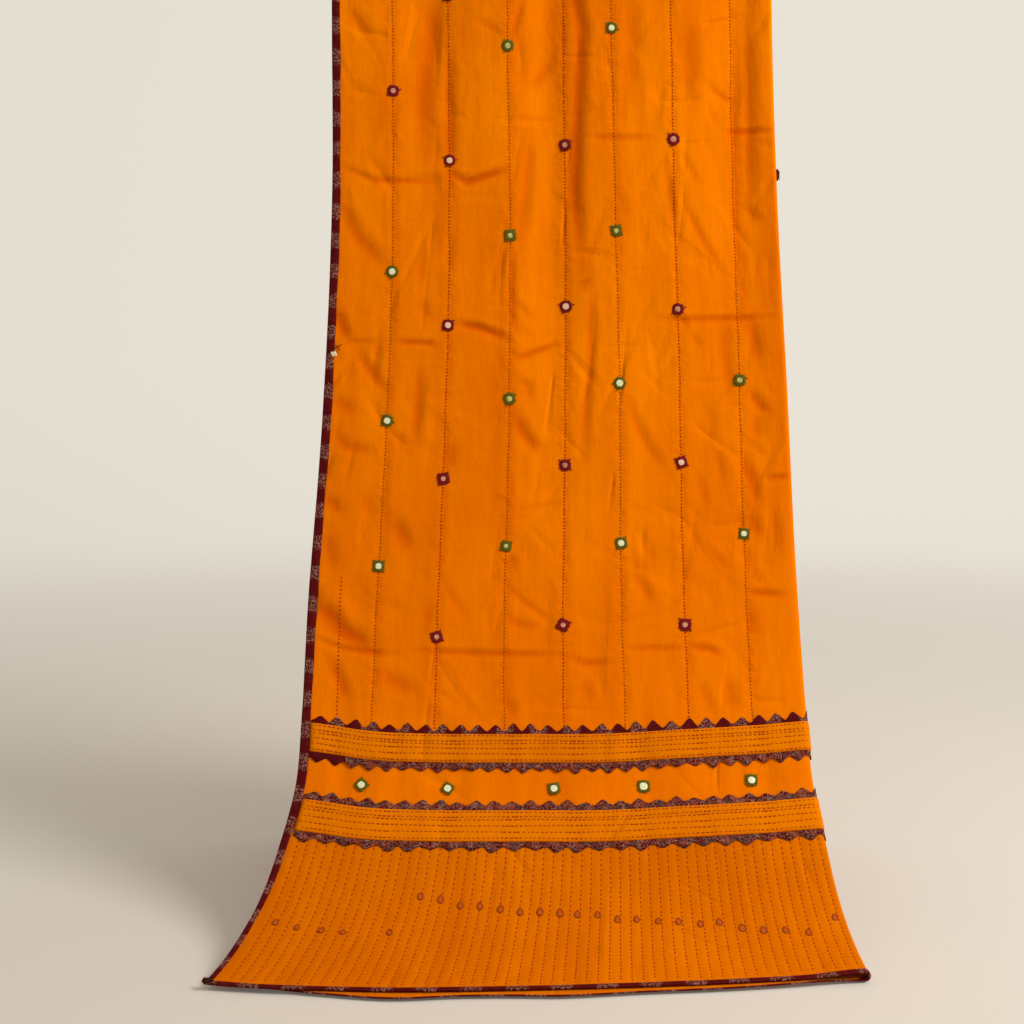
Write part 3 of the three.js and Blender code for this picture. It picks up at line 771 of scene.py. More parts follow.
def print_material(name, dense=False, rows="along", plain=False):
    """Maroon cotton printed with rows of small medallions of grey squiggles and rust patches."""
    shading = Shading(name)
    place = shading.cloth_place()
    kind = DENSE_PRINT if dense else SPACED_PRINT
    axes = shading.add("ShaderNodeSeparateXYZ", {"Vector": place})
    running = axes.outputs["X" if rows == "across" else "Y"]
    cell = shading.math("PINGPONG", running, kind["pitch"] / 2)
    cell = shading.math("MULTIPLY_ADD", shading.noise(place, 130, 2), MEDALLION_WANDER, cell)
    edge = kind["pitch"] / 4 + MEDALLION_SPREAD
    medallion = shading.range(cell, edge - MEDALLION_SOFTNESS, edge + MEDALLION_SOFTNESS, 1.0, 0.0)
    cells = shading.add("ShaderNodeTexVoronoi", {"Vector": place, "Scale": kind["closeness"]},
                        feature="DISTANCE_TO_EDGE").outputs["Distance"]
    lines = shading.range(cells, 0.08, 0.17, 1.0, 0.0)
    lines = shading.math("MULTIPLY", lines, shading.range(shading.noise(place, 520, 2), 0.4, 0.6))
    patches = shading.range(shading.noise(place, 110, 2), 0.48, 0.62)
    ground = shading.mix(patches, MAROON, kind["patch"])
    if dense:
        medallion = shading.math("MAXIMUM", medallion, 0.5)
        blotches = shading.range(shading.noise(place, 82, 1), 0.52, 0.62, 0.0, 0.65)
        ground = shading.mix(blotches, ground, DARK_BLOTCH)
    ink = shading.math("MULTIPLY", lines, medallion)
    colour = ground if plain else shading.mix(ink, ground, PRINT_GREY)
    threads = shading.noise(place, 1200, 2)
    normal = shading.bump(threads, 0.00015, 0.5)
    return shading.finish(Base_Color=colour, Roughness=0.85, Normal=normal,
                          Specular_IOR_Level=0.05)


# How much lighter the painted highlight on the thread's plies is
PLY_HIGHLIGHT = 1.8


def thread_material(name, colour):
    """Twisted cotton thread, with a painted highlight: a little lighter where its plies stand out."""
    shading = Shading(name)
    grain = shading.noise(shading.body_place(), 2600, 2)
    highlight = tuple(min(1.0, channel * PLY_HIGHLIGHT) for channel in colour)
    return shading.finish(
        Base_Color=shading.mix(shading.range(grain, 0.35, 0.75), colour, highlight),
        Roughness=0.7, Normal=shading.bump(grain, 0.0002, 0.6), Specular_IOR_Level=0.08)


def mirror_material(name, clear, clouded):
    """Old hand-cut mirror glass: bright, a little clouded and not quite flat."""
    shading = Shading(name)
    place = shading.body_place()
    cloud = shading.noise(place, 380, 3)
    colour = shading.mix(shading.range(cloud, 0.4, 0.7), clear, clouded)
    normal = shading.bump(shading.noise(place, 160, 1), 0.0006, 0.4)
    return shading.finish(Base_Color=colour, Metallic=0.3, Normal=normal,
                          Roughness=shading.range(cloud, 0.3, 0.8, 0.18, 0.4))


WOOD_COLOURS = ((0.52, 0.30, 0.14), (0.36, 0.19, 0.08))


def wood_material(name):
    """Plain turned softwood, with its grain along the rod."""
    shading = Shading(name)
    place = shading.body_place()
    grain = shading.noise(shading.stretched(place, (3, 90, 90)), detail=5, roughness=0.6)
    fine = shading.noise(shading.stretched(place, (25, 900, 900)), detail=2)
    figure = shading.math("MULTIPLY_ADD", fine, 0.3, grain)
    colour = shading.mix(shading.range(figure, 0.45, 0.85), *WOOD_COLOURS)
    return shading.finish(Base_Color=colour, Roughness=shading.range(grain, 0.3, 0.7, 0.42, 0.6),
                          Normal=shading.bump(figure, 0.0005, 0.4))


# The soft light from all round: it is brightest behind the cloth, on the right
SURROUNDINGS = (1.0, 0.935, 0.82)
BRIGHT_SIDE = (0.35, 0.94, 0.0)
GLOW_RANGE = (0.36, 0.82)


def glow_towards(tree, direction):
    """How bright the surroundings are in a direction, as a node output."""
    dot = tree.nodes.new("ShaderNodeVectorMath")
    dot.operation = "DOT_PRODUCT"
    tree.links.new(direction, dot.inputs[0])
    dot.inputs[1].default_value = BRIGHT_SIDE
    ramp = tree.nodes.new("ShaderNodeMapRange")
    tree.links.new(dot.outputs["Value"], ramp.inputs["Value"])
    ramp.inputs["From Min"].default_value = -1.0
    ramp.inputs["To Min"].default_value = GLOW_RANGE[0]
    ramp.inputs["To Max"].default_value = GLOW_RANGE[1]
    return ramp.outputs["Result"]


# The floor's own colours near the cloth, and the reach in metres over which it fades
FLOOR_COLOURS = ((0.72, 0.67, 0.61), (0.70, 0.65, 0.59))
FLOOR_FADE = (0.9, 3.9)


def floor_material(name):
    """A plain pale floor that goes over into the pale surroundings far from the cloth."""
    shading = Shading(name)
    place = shading.body_place()
    distance = shading.add("ShaderNodeVectorMath", {0: place}, operation="LENGTH").outputs["Value"]
    far = shading.math("SMOOTH_MIN", shading.range(distance, *FLOOR_FADE, 0.0, 1.3), 1.0, 0.3)
    near_colour = shading.mix(shading.noise(place, 3, 2), *FLOOR_COLOURS)
    direction = shading.add("ShaderNodeVectorMath", {0: place}, operation="NORMALIZE")
    glow = glow_towards(shading.tree, direction.outputs["Vector"])
    return shading.finish(
        Base_Color=shading.mix(far, near_colour, (0.0, 0.0, 0.0)), Roughness=0.95,
        Specular_IOR_Level=0.0, Emission_Color=SURROUNDINGS,
        Emission_Strength=shading.math("MULTIPLY", far, glow))


cotton = cotton_material("cotton_orange", **COTTON, painted_shade_at_hems=0.45)
band_cotton = cotton_material("cotton_orange_band", **BAND)
# The end panels' cotton, darker for painted shade
panel_shaded_cotton = cotton_material("cotton_orange_quilted", **PANEL_SHADED)
print_tape = print_material("print_maroon_tape")
print_tape_across = print_material("print_maroon_hem_tape", rows="across")
print_spaced = print_material("print_maroon_spaced", rows="across")
print_dense = print_material("print_maroon_dense", dense=True, rows="across")
print_plain = print_material("print_maroon_plain", plain=True)
THREADS = {name: thread_material(f"thread_{name}", colour)
           for name, colour in THREAD_COLOURS.items()}
# The glass takes some of the colour of its ring, and about half of it has gone dim
GLASS = {
    ("green", "bright"): mirror_material(
        "mirror_glass_greenish", (1.0, 1.0, 0.74), (0.84, 0.84, 0.38)),
    ("green", "dim"): mirror_material(
        "mirror_glass_olive", (0.72, 0.66, 0.20), (0.36, 0.32, 0.06)),
    ("maroon", "bright"): mirror_material(
        "mirror_glass_pinkish", (1.0, 0.72, 0.50), (0.90, 0.52, 0.34)),
    ("maroon", "dim"): mirror_material(
        "mirror_glass_rosy", (0.80, 0.38, 0.22), (0.42, 0.14, 0.07)),
}


# ---- The cloth pieces ----

LOWER_SEAM = LOWER_BAND[1] - SEAM_UNDER_BAND
UPPER_SEAM = UPPER_BAND[0] + SEAM_UNDER_BAND
ENDS = ("front", "back")


def columns_by_lines(step, offsets):
    """Columns of the outer layer that run with the stitch lines, with extra ones beside each."""
    lines = STITCH_LINES["at_rod"][STITCH_LINES["at_rod"] < FLAT_WIDTH]
    beside = (lines[:, None] + np.array(offsets)[None, :]).ravel()
    even = spaced(0, FLAT_WIDTH, step)
    clear = np.abs(even[:, None] - lines[None, :]).min(axis=1) > max(offsets) + step / 3
    clear[[0, -1]] = True
    return np.sort(np.concatenate([even[clear], beside]))


def follow_lines(columns, along):
    """Moves columns given at the rod to where they are at each place along the cloth."""
    inner = columns[None, :] > FOLD_ACROSS
    folded = np.where(inner, CLOTH_WIDTH - columns[None, :], columns[None, :])
    lines = STITCH_LINES[STITCH_LINES["at_rod"] < FLAT_WIDTH]
    at_rod = np.concatenate([[0], lines["at_rod"], [FLAT_WIDTH]])
    moved = np.empty((len(along), len(columns)))
    for i, place in enumerate(along):
        here = np.concatenate([[0], [line_across(line, place) for line in lines], [FLAT_WIDTH]])
        moved[i] = np.where(folded[0] < FLAT_WIDTH, np.interp(folded[0], at_rod, here), folded[0])
    return np.where(inner, CLOTH_WIDTH - moved, moved)


OUTER_FIELD_STEP = 4.1
INNER_FIELD_STEP = 18.0
BESIDE_LINES = (-3.4, -1.2, 1.2, 3.4)
# The field's rows are closest together where creases run across it
FINE_ROWS_NEAR = (388, 442, 566, 717, 742, 891, 940)
FINE_ROW_REACH = 13.0
FINE_ROW_STEP = 2.1
FRONT_ROW_STEP = 3.5
TURN_ROW_STEP = 6.0
BACK_ROW_STEP = 12.0


def field_rows():
    edge = UPPER_SEAM + SEAM_GAP / 2
    ends = np.array([edge, TURN_START])
    places = np.arange(edge, TURN_START, 1.0)
    near = np.abs(places[:, None] - np.array(FINE_ROWS_NEAR)[None, :]).min(axis=1)
    count = np.cumsum(np.where(near < FINE_ROW_REACH, 1 / FINE_ROW_STEP, 1 / FRONT_ROW_STEP))
    front = np.interp(np.linspace(count[0], count[-1], round(count[-1])), count, places)
    front[[0, -1]] = ends
    return joined(front, spaced(TURN_START, TURN_END, TURN_ROW_STEP),
                  spaced(TURN_END, CLOTH_LENGTH - edge, BACK_ROW_STEP))


def every_other(count, always):
    """Every second number below a count, with both ends and a range that is kept whole."""
    numbers = np.arange(count)
    keep = (numbers % 2 == 0) | (numbers == count - 1) | always
    return numbers[keep]


# How far from a stitch line the cloth is gathered and has painted shade, and how deep a crease
# is where its painted shade is at its strongest
GATHERED_AND_SHADED_WIDTH = 7.0
CREASE_SHADE_DEPTH = 2.3


def add_shade_attributes(piece):
    """Keeps for the cloth's material how near the stitch lines and how deep in a crease it is, for
    its gathers and its painted shade.
    """
    mesh = piece.data
    place = np.zeros((len(mesh.vertices), 2))
    corner = np.empty(len(mesh.loops), dtype=np.int32)
    mesh.loops.foreach_get("vertex_index", corner)
    coordinates = np.empty(len(mesh.loops) * 2)
    mesh.uv_layers["cloth"].data.foreach_get("uv", coordinates)
    place[corner] = coordinates.reshape(-1, 2) / METRES_PER_MM
    gathered_and_shaded = near_stitch_lines(place[:, 0], place[:, 1], GATHERED_AND_SHADED_WIDTH)
    crease_shade = np.clip(-crease_relief(place[:, 0], place[:, 1]) / CREASE_SHADE_DEPTH, 0, 1)
    for name, values in (("gathered_and_shaded", gathered_and_shaded), ("crease_shade", crease_shade)):
        attribute = mesh.attributes.new(name, "FLOAT", "POINT")
        attribute.data.foreach_set("value", values.astype(np.float32))


def make_field():
    fold = spaced(FLAT_WIDTH, CLOTH_WIDTH - FLAT_WIDTH, FOLD_STEP)
    inner = spaced(CLOTH_WIDTH - FLAT_WIDTH, CLOTH_WIDTH, INNER_FIELD_STEP)
    columns = joined(columns_by_lines(OUTER_FIELD_STEP, BESIDE_LINES), fold, inner)
    rows = field_rows()
    across = follow_lines(columns, rows)
    in_fold = np.abs(columns - FOLD_ACROSS) < FOLD_HALF_WIDTH + 1
    picks = (every_other(len(rows), rows > TURN_START), every_other(len(columns), in_fold))
    field = cloth_shell("field_cloth", across, rows[:, None], FIELD_WALL, cotton, picks=picks)
    add_shade_attributes(field)
    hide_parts("field")
    return field


def make_mirror_strip(end):
    rows = np.sort(spaced(from_hem(end, LOWER_SEAM + SEAM_GAP / 2),
                          from_hem(end, UPPER_SEAM - SEAM_GAP / 2), 4.0))
    columns = cloth_columns(4.0, 8.0)
    wrinkles = (0.8 * np.sin(columns / 10.5) * np.sin(columns / 33) - 0.6
                + 0.35 * np.sin(columns / 4.1 + 1) * np.sin(columns / 31))
    strip = cloth_shell(f"mirror_strip_{end}_cloth", columns[None, :], rows[:, None], CLOTH_WALL,
                        cotton, wrinkles[None, :])
    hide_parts(f"mirror_strip_{end}")
    return strip


QUILT_PITCH = 8.62
QUILT_START = 6.0
QUILT_DEPTH = 0.5


def quilt_place(across):
    """A place across either layer as a count of stitch lines from its free edge."""
    from_edge = np.minimum(across, CLOTH_WIDTH - across)
    return (from_edge - QUILT_START) / QUILT_PITCH


def make_end_panel(end):
    rows = np.sort(spaced(from_hem(end, 0), from_hem(end, LOWER_SEAM - SEAM_GAP / 2), 5.0))
    columns = cloth_columns(QUILT_PITCH / 4, QUILT_PITCH / 2)
    relief = -QUILT_DEPTH * np.cos(math.pi * quilt_place(columns)) ** 6
    panel = cloth_shell(f"end_panel_{end}_cloth", columns[None, :], rows[:, None], CLOTH_WALL,
                        panel_shaded_cotton, relief[None, :])
    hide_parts(f"end_panel_{end}")
    return panel


# Running stitches lie along a band at these shares of its width, from its hem side
BAND_STITCH_SHARES = {"lower": (0.1, 0.3, 0.5, 0.69, 0.78, 0.93),
                      "upper": (0.08, 0.3, 0.5, 0.66, 0.76, 0.93)}
BAND_PUCKER = 0.28
BAND_PUCKER_WIDTH = 0.045
# A band's edges turn down over this share of its width, by this height
BAND_EDGE_SHARE = 0.06
BAND_EDGE_DROP = 0.6
BAND_ROWS = 17
BANDS = {"lower": LOWER_BAND, "upper": UPPER_BAND}


def make_band(name, end):
    low, high = BANDS[name]
    share = np.linspace(0, 1, BAND_ROWS)
    pucker = sum(np.exp(-((share - at) / BAND_PUCKER_WIDTH) ** 2)
                 for at in BAND_STITCH_SHARES[name])
    from_edge = np.minimum(np.minimum(share, 1 - share) / BAND_EDGE_SHARE, 1)
    relief = -BAND_PUCKER * pucker - BAND_EDGE_DROP * (1 - from_edge) ** 2
    along = from_hem(end, low + (high - low) * share)
    order = np.argsort(along)
    columns = cloth_columns(4.0, 6.0, BINDING_CLEAR)
    pulls = 0.3 * np.sin(columns / 6.3) * np.sin(columns / 19)
    band = cloth_shell(f"band_{name}_{end}_cloth", columns[None, :], along[order][:, None],
                       BAND_WALL, band_cotton, relief[order][:, None] + pulls[None, :])
    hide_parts(f"band_{name}_{end}")
    return band


# The teeth of each toothed edge, over one layer of the folded cloth
TEETH = {("upper", "high"): 28, ("upper", "low"): 29, ("lower", "high"): 28, ("lower", "low"): 25}
POINTS_PER_TOOTH = 8
DEEP_NOTCH = 0.04
SHALLOW_NOTCH = 0.28


def tooth_edge(columns, count, notch):
    """How far a toothed edge reaches at each column. The teeth are cut by hand, so they vary.
    The notch is the share of a full tooth's height that is left between two teeth."""
    inset = np.minimum(columns, CLOTH_WIDTH - columns) - BINDING_CLEAR
    place = inset / (FLAT_WIDTH - BINDING_CLEAR) * count
    tooth = np.floor(place).astype(int)
    side = (columns > FOLD_ACROSS).astype(int)
    tall = draws.uniform(0.62, 1.0, (2, count + 3))[side, np.clip(tooth, 0, count + 2)]
    lean = draws.uniform(-0.1, 0.1, (2, count + 3))[side, np.clip(tooth, 0, count + 2)]
    within = np.clip(place - tooth, 0, 1)
    middle = 0.5 + lean
    climb = np.where(within < middle, within / middle, (1 - within) / (1 - middle))
    profile = 0.4 * climb + 0.6 * smooth(climb)
    return TOOTH_ROOT + TOOTH_HEIGHT * (notch + (tall - notch) * profile)


PLAIN_START_WIDTH = 42.0


def print_upper_strip(strip):
    """The upper strip's far teeth have spaced medallions, and its near teeth start plain."""
    mesh = strip.data
    mesh.materials.append(print_spaced)
    mesh.materials.append(print_plain)
    coordinates = mesh.uv_layers["cloth"].data
    middle = sum(UPPER_BAND) / 2
    for face in mesh.polygons:
        across, along = coordinates[face.loop_start].uv / METRES_PER_MM
        if min(along, CLOTH_LENGTH - along) > middle:
            face.material_index = 1
        elif min(across, CLOTH_WIDTH - across) < PLAIN_START_WIDTH:
            face.material_index = 2


def make_sawtooth(name, end):
    low, high = BANDS[name]
    teeth_low = TEETH[(name, "low")]
    teeth_high = TEETH[(name, "high")]
    step = (FLAT_WIDTH - BINDING_CLEAR) / (max(teeth_low, teeth_high) * POINTS_PER_TOOTH)
    columns = cloth_columns(step, step * 1.5, BINDING_CLEAR)
    reach_low = tooth_edge(columns, teeth_low, SHALLOW_NOTCH)
    reach_high = tooth_edge(columns, teeth_high, DEEP_NOTCH if name == "upper" else SHALLOW_NOTCH)
    rows = [low - reach_low * share for share in (1, 0.66, 0.33)]
    rows += [np.full_like(columns, low + (high - low) * share) for share in (0, 0.33, 0.66, 1)]
    rows += [high + reach_high * share for share in (0.33, 0.66, 1)]
    along = from_hem(end, np.array(rows))
    if end == "back":
        along = along[::-1]
    across = np.broadcast_to(columns, along.shape)
    strip = cloth_shell(f"sawtooth_{name}_{end}_print", across, along, PRINT_WALL, print_dense)
    if name == "upper":
        print_upper_strip(strip)
    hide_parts(f"sawtooth_{name}_{end}")
    return strip


# ---- The folded tape that binds every edge ----

# The outlines of the two tapes. The hems' tape is narrower and thinner than the long edges'.
EDGE_TAPE = {"width": BINDING_WIDTH, "rise": 1.15, "wall": 0.7}
HEM_TAPE = {"width": 5.0, "rise": 0.8, "wall": 0.5}
TAPE_TURN_POINTS = 6


def tape_section(width, rise, wall):
    """The tape's outline as rows of inset and lift: over the right side, round the cloth's edge
    and under the wrong side, then back along its inner face."""
    high = rise
    low = CLOTH_WALL[0] - rise
    middle = (high + low) / 2
    radius = (high - low) / 2
    turn = np.linspace(math.pi / 2, -math.pi / 2, TAPE_TURN_POINTS)
    outer_turn = np.stack([0.2 - radius * np.cos(turn), middle + radius * np.sin(turn)], axis=-1)
    small = radius - wall
    inner_turn = np.stack([0.2 - small * np.cos(turn), middle + small * np.sin(turn)], axis=-1)
    drop = 0.4 * rise
    outer = np.vstack([
        [(width, high - drop), (width - 0.5, high - 0.05), (width / 2, high + 0.1)],
        outer_turn,
        [(width / 2, low - 0.1), (width - 0.5, low + 0.05), (width, low + drop)],
    ])
    inner = np.vstack([
        [(width - 0.3, low + wall), (width / 2, low + wall)],
        inner_turn[::-1],
        [(width / 2, high - wall), (width - 0.3, high - wall)],
    ])
    return np.vstack([outer, inner])


def make_tape(name, across, along, lift, material, node):
    """A closed tape: across, along and lift have one row for each station."""
    stations, size = across.shape
    point, _, _, out = frames_at(across, along)
    points = (point + out * lift[..., None]).reshape(-1, 3)
    corner = np.arange(stations * size).reshape(stations, size)
    after = np.roll(corner, -1, axis=1)
    sides = np.stack([corner[:-1], after[:-1], after[1:], corner[1:]], axis=-1).reshape(-1, 4)
    half = size // 2
    cap = np.array([[corner[0, i], corner[0, i + 1], corner[0, size - 2 - i], corner[0, size - 1 - i]]
                    for i in range(half - 1)])
    far_cap = cap + corner[-1, 0]
    faces = np.concatenate([sides, cap[:, ::-1], far_cap])
    places = np.stack([across.ravel(), along.ravel()], axis=-1)
    tape = new_piece(name, points, faces, [material], places)
    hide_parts(node)
    return tape


# Between the layers, the inner hem's tape turns over by only this share of its width
INNER_FLAP_SHARE = 0.2
INNER_TAPE_THICKNESS = 0.55


def make_hem_binding(end):
    columns = cloth_columns(4.0, 6.0)
    section = tape_section(**HEM_TAPE)
    wander = 0.5 * np.sin(columns / 23.0) + 0.35 * np.sin(columns / 9.1 + 1.0)
    inset = section[None, :, 0] * (1 + wander[:, None] * 0.1)
    is_inner = columns[:, None] > FOLD_ACROSS + FOLD_HALF_WIDTH
    is_under_flap = (section[None, :, 1] < CLOTH_WALL[0]) & (section[None, :, 0] > 1)
    inset = np.where(is_inner & is_under_flap, inset * INNER_FLAP_SHARE, inset)
    across = np.broadcast_to(columns[:, None], inset.shape)
    along = from_hem(end, inset)
    middle = CLOTH_WALL[0] / 2
    thin = np.where(is_inner, INNER_TAPE_THICKNESS, 1.0)
    lift = middle + (section[None, :, 1] - middle) * thin
    return make_tape(f"hem_binding_{end}_tape", across, along, lift, print_tape_across,
                     f"hem_binding_{end}")


# The long edges' tape is drawn in where it nears the front hem
TAPE_WIDTHS = table(("along", "share"), [(0, 0.5), (90, 0.55), (170, 0.8), (260, 1), (2500, 1)])


def make_edge_binding(layer):
    stations = spaced(BINDING_CLEAR, CLOTH_LENGTH - BINDING_CLEAR, 6.0)
    section = tape_section(**EDGE_TAPE)
    wander = 0.45 * np.sin(stations / 31.0) + 0.3 * np.sin(stations / 11.7 + 2.0)
    width_share = np.interp(stations, TAPE_WIDTHS["along"], TAPE_WIDTHS["share"])
    inset = section[None, :, 0] * ((1 + wander * 0.1) * width_share)[:, None]
    across = inset if layer == "outer" else CLOTH_WIDTH - inset
    along = np.broadcast_to(stations[:, None], inset.shape)
    lift = np.broadcast_to(section[None, :, 1], inset.shape)
    return make_tape(f"edge_binding_{layer}_tape", across, along, lift, print_tape,
                     f"edge_binding_{layer}")


# ---- Running stitches ----

def make_stitches(name, across, along, turn, length, width, lift, material):
    """Many small stitches joined in one mesh. Each is a spindle that lies on the cloth: turn is
    its angle from the direction across, and lift the height of the cloth under it."""
    across, along, turn, length, lift = (
        np.broadcast_arrays(across, along, turn, length, lift))
    across, along, turn, length, lift = (
        array.ravel() for array in (across, along, turn, length, lift))
    point, side, forward, out = frames_at(across, along)
    run = side * np.cos(turn)[:, None] + forward * np.sin(turn)[:, None]
    beside = np.cross(out, run)
    corners = np.array([
        (-0.5, 0.0, -0.2), (-0.28, -0.5, 0.0), (-0.28, 0.0, 0.6), (-0.28, 0.5, 0.0),
        (0.28, -0.5, 0.0), (0.28, 0.0, 0.6), (0.28, 0.5, 0.0), (0.5, 0.0, -0.2),
    ])
    points = (
        point[:, None, :]
        + run[:, None, :] * (corners[None, :, 0] * length[:, None])[..., None]
        + beside[:, None, :] * (corners[None, :, 1] * width)[..., None]
        + out[:, None, :] * (corners[None, :, 2] * width + lift[:, None])[..., None]
    )
    spindle = np.array([
        (0, 1, 2), (0, 2, 3), (0, 3, 1), (1, 4, 5), (1, 5, 2), (2, 5, 6), (2, 6, 3),
        (3, 6, 4), (3, 4, 1), (7, 5, 4), (7, 6, 5), (7, 4, 6),
    ])
    starts = np.arange(len(across)) * len(corners)
    faces = (spindle[None, :, :] + starts[:, None, None]).reshape(-1, 3)
    return new_piece(name, points.reshape(-1, 3), faces, [material])


THREAD_WIDTH = 1.45


def uneven(values, spread):
    return values + draws.normal(0, spread, values.shape)


def sew(name, across, along, turn, turn_spread, length, length_spread, lift, thread):
    """Rows of running stitches, each a little uneven in its turn and its length."""
    stitches = make_stitches(
        name, across, along, uneven(np.full(across.shape, turn), turn_spread),
        uneven(np.full(across.shape, length), length_spread), THREAD_WIDTH, lift, THREADS[thread])


# A short extra line of stitches starts at the border, as across and along at its two ends
SHORT_LINE = ((33, 318), (31, 463))
FIELD_STITCH_PITCH = 3.6
FIELD_STITCH_LENGTH = 2.5


def field_lines():
    """All the field's stitch lines: their rows and whether they lie on the inner layer."""
    for is_inner in (False, True):
        for line in STITCH_LINES:
            if not (is_inner and line["at_border"] > FOLD_ACROSS):
                yield line, is_inner


def make_field_stitches():
    start = UPPER_BAND[1] + TOOTH_ROOT + 4
    along = np.arange(start, CLOTH_LENGTH - start, FIELD_STITCH_PITCH)
    groups = {True: [], False: []}
    for line, is_inner in field_lines():
        across = line_across(line, along)
        wander = 0.3 * np.sin(along / 47 + line["at_rod"]) + 0.3 * np.sin(along / 17 + line["at_rod"])
        across = CLOTH_WIDTH - across if is_inner else across
        groups[bool(line["is_green"])].append(uneven(across + wander, 0.12))
    for is_green, lines in groups.items():
        across = np.array(lines)
        places = uneven(np.broadcast_to(along, across.shape), 0.25)
        name = "field_stitches_green" if is_green else "field_stitches_maroon"
        thread = "olive_brown" if is_green else "red_brown"
        sew(name, across, places, math.pi / 2, 0.05, FIELD_STITCH_LENGTH, 0.25, 0.0, thread)
    (low_across, low_along), (high_across, high_along) = SHORT_LINE
    along = np.arange(low_along, high_along, FIELD_STITCH_PITCH * 1.2)
    across = uneven(np.interp(along, (low_along, high_along), (low_across, high_across)), 0.12)
    short_line = make_stitches("short_stitch_line", across, along, math.pi / 2,
                               FIELD_STITCH_LENGTH, THREAD_WIDTH, 0.0, THREADS["red_brown"])


PANEL_STITCH_PITCH = 5.6
PANEL_STITCH_LENGTH = 3.7


def make_panel_stitches(end):
    first = BINDING_WIDTH + 3
    last = LOWER_BAND[0] - TOOTH_ROOT - 3
    along = np.arange(first, last, PANEL_STITCH_PITCH)
    lines = QUILT_START + np.arange(1, int(FLAT_WIDTH / QUILT_PITCH)) * QUILT_PITCH
    lines = np.concatenate([lines, CLOTH_WIDTH - lines])
    across, along = np.meshgrid(lines, along)
    along = along + draws.uniform(0, PANEL_STITCH_PITCH, lines.shape)[None, :]
    along = uneven(along, 0.35)
    across = uneven(across, 0.12)
    sew(f"panel_stitches_{end}", across, from_hem(end, along), math.pi / 2, 0.04,
        PANEL_STITCH_LENGTH, 0.4, -QUILT_DEPTH, "orange_red")


BAND_STITCH_PITCH = 4.3
BAND_STITCH_LENGTH = 3.6
# Round the lengthwise fold these stitches lie this much deeper in the band
PRESSED_AT_FOLD = 0.5


def make_band_stitches(name, end):
    low, high = BANDS[name]
    columns = np.arange(BINDING_CLEAR + 2, CLOTH_WIDTH - BINDING_CLEAR - 2, BAND_STITCH_PITCH)
    shares = np.array(BAND_STITCH_SHARES[name])
    across, share = np.meshgrid(columns, shares)
    across = uneven(across + draws.uniform(0, BAND_STITCH_PITCH, shares.shape)[:, None], 0.3)
    along = low + (high - low) * share + 0.35 * np.sin(across / 29 + share * 9)
    pressed = PRESSED_AT_FOLD * np.exp(-((across - FOLD_ACROSS) / FOLD_HALF_WIDTH) ** 4)
    sew(f"band_stitches_{name}_{end}", across, from_hem(end, along), 0.0, 0.04,
        BAND_STITCH_LENGTH, 0.3, BAND_WALL[1] - BAND_PUCKER - pressed, "red_maroon")


# ---- Mirrors ----

MIRROR_LIFT = 0.25
# The glass has this radius under a full opening, and is larger or smaller as the opening is
GLASS_RADIUS = 4.6
FULL_OPENING = 3.6
RING_OUTER = 6.6
# One of a ring's two rounds of thread lies on the cloth, at this radius
OUTER_ROUND = RING_OUTER * 0.88
RING_STITCHES = 24
RING_UNEVENNESS = 0.5
# A squarish ring's opening is rounder than its outside
OPENING_SQUARENESS = 0.4
BORDER_MIRRORS = (61, 144, 246, 332, 436)
BORDER_MIRROR_ALONG = 249.5
# The ring of this one mirror on the first line is maroon, where the others are green
ODD_MIRROR = (0, 987)
# This one sits just round the fold, so that only its ring's ticks show from the front
FOLD_MIRROR = (503.0, 898.0)

# The rings are worked by hand: R is round and S squarish, in small letters with the narrower
# opening of a dim mirror, and B is on the borders. Each comes in two versions. Ticks of thread
# that run out on the cloth are given as angles in degrees.
RING_SHAPES = {
    "R": ({"squareness": 0.1, "opening": 3.8, "ticks": (200, 262)},
          {"squareness": 0.4, "opening": 3.6, "ticks": (0, 150, 235)}),
    "r": ({"squareness": 0.2, "opening": 3.3, "ticks": (120, 240)},
          {"squareness": 0.5, "opening": 3.1, "ticks": (20, 225)}),
    "S": ({"squareness": 1.1, "opening": 3.4, "ticks": (45, 135, 225, 315)},
          {"squareness": 0.8, "opening": 3.5, "ticks": (45, 225)}),
    "s": ({"squareness": 1.1, "opening": 2.7, "ticks": (45, 225)},
          {"squareness": 0.8, "opening": 2.9, "ticks": (45, 135, 315)}),
    "B": ({"squareness": 1.2, "opening": 4.0, "ticks": ()},
          {"squareness": 0.9, "opening": 3.8, "ticks": (45, 135)}),
}
# How unevenly the mirrors are turned, and how far a full squareness brings the corners out
FIELD_TURN = 0.2
BORDER_TURN = 0.5
CORNERS_OUT = 0.09
SPOKE_HALF_WIDTH = 0.62
TICK_LENGTH = 2.1
TICK_HALF_WIDTH = 0.7
# The inner layer's border mirrors lie this much nearer the fold
INNER_BORDER_SHIFT = 9.0


def mirror_places():
    """Every mirror as across, along, its ring's colour and its look."""
    places = []
    for line, is_inner in field_lines():
        number = int(np.flatnonzero(STITCH_LINES["at_rod"] == line["at_rod"])[0])
        looks = itertools.cycle(MIRROR_LOOKS[number])
        for along, look in zip(mirrors_on_line(number), looks):
            across = line_across(line, along)
            is_green = bool(line["is_green"]) and (number, along) != ODD_MIRROR
            places.append((CLOTH_WIDTH - across if is_inner else across, along,
                           "green" if is_green else "maroon", look))
    places.append((*FOLD_MIRROR, "maroon", "r"))
    for end in ENDS:
        for across in BORDER_MIRRORS:
            along = from_hem(end, BORDER_MIRROR_ALONG)
            places.append((across, along, "green", "B"))
            places.append((CLOTH_WIDTH - across - INNER_BORDER_SHIFT, along, "green", "B"))
    return places


def closed_outline(radius, count, squareness):
    """A round outline, or a squarish one with its corners out."""
    turn = np.arange(count) * 2 * math.pi / count
    reach = radius * (1 - CORNERS_OUT * squareness * np.cos(4 * turn))
    return np.stack([reach * np.cos(turn), reach * np.sin(turn)], axis=-1)


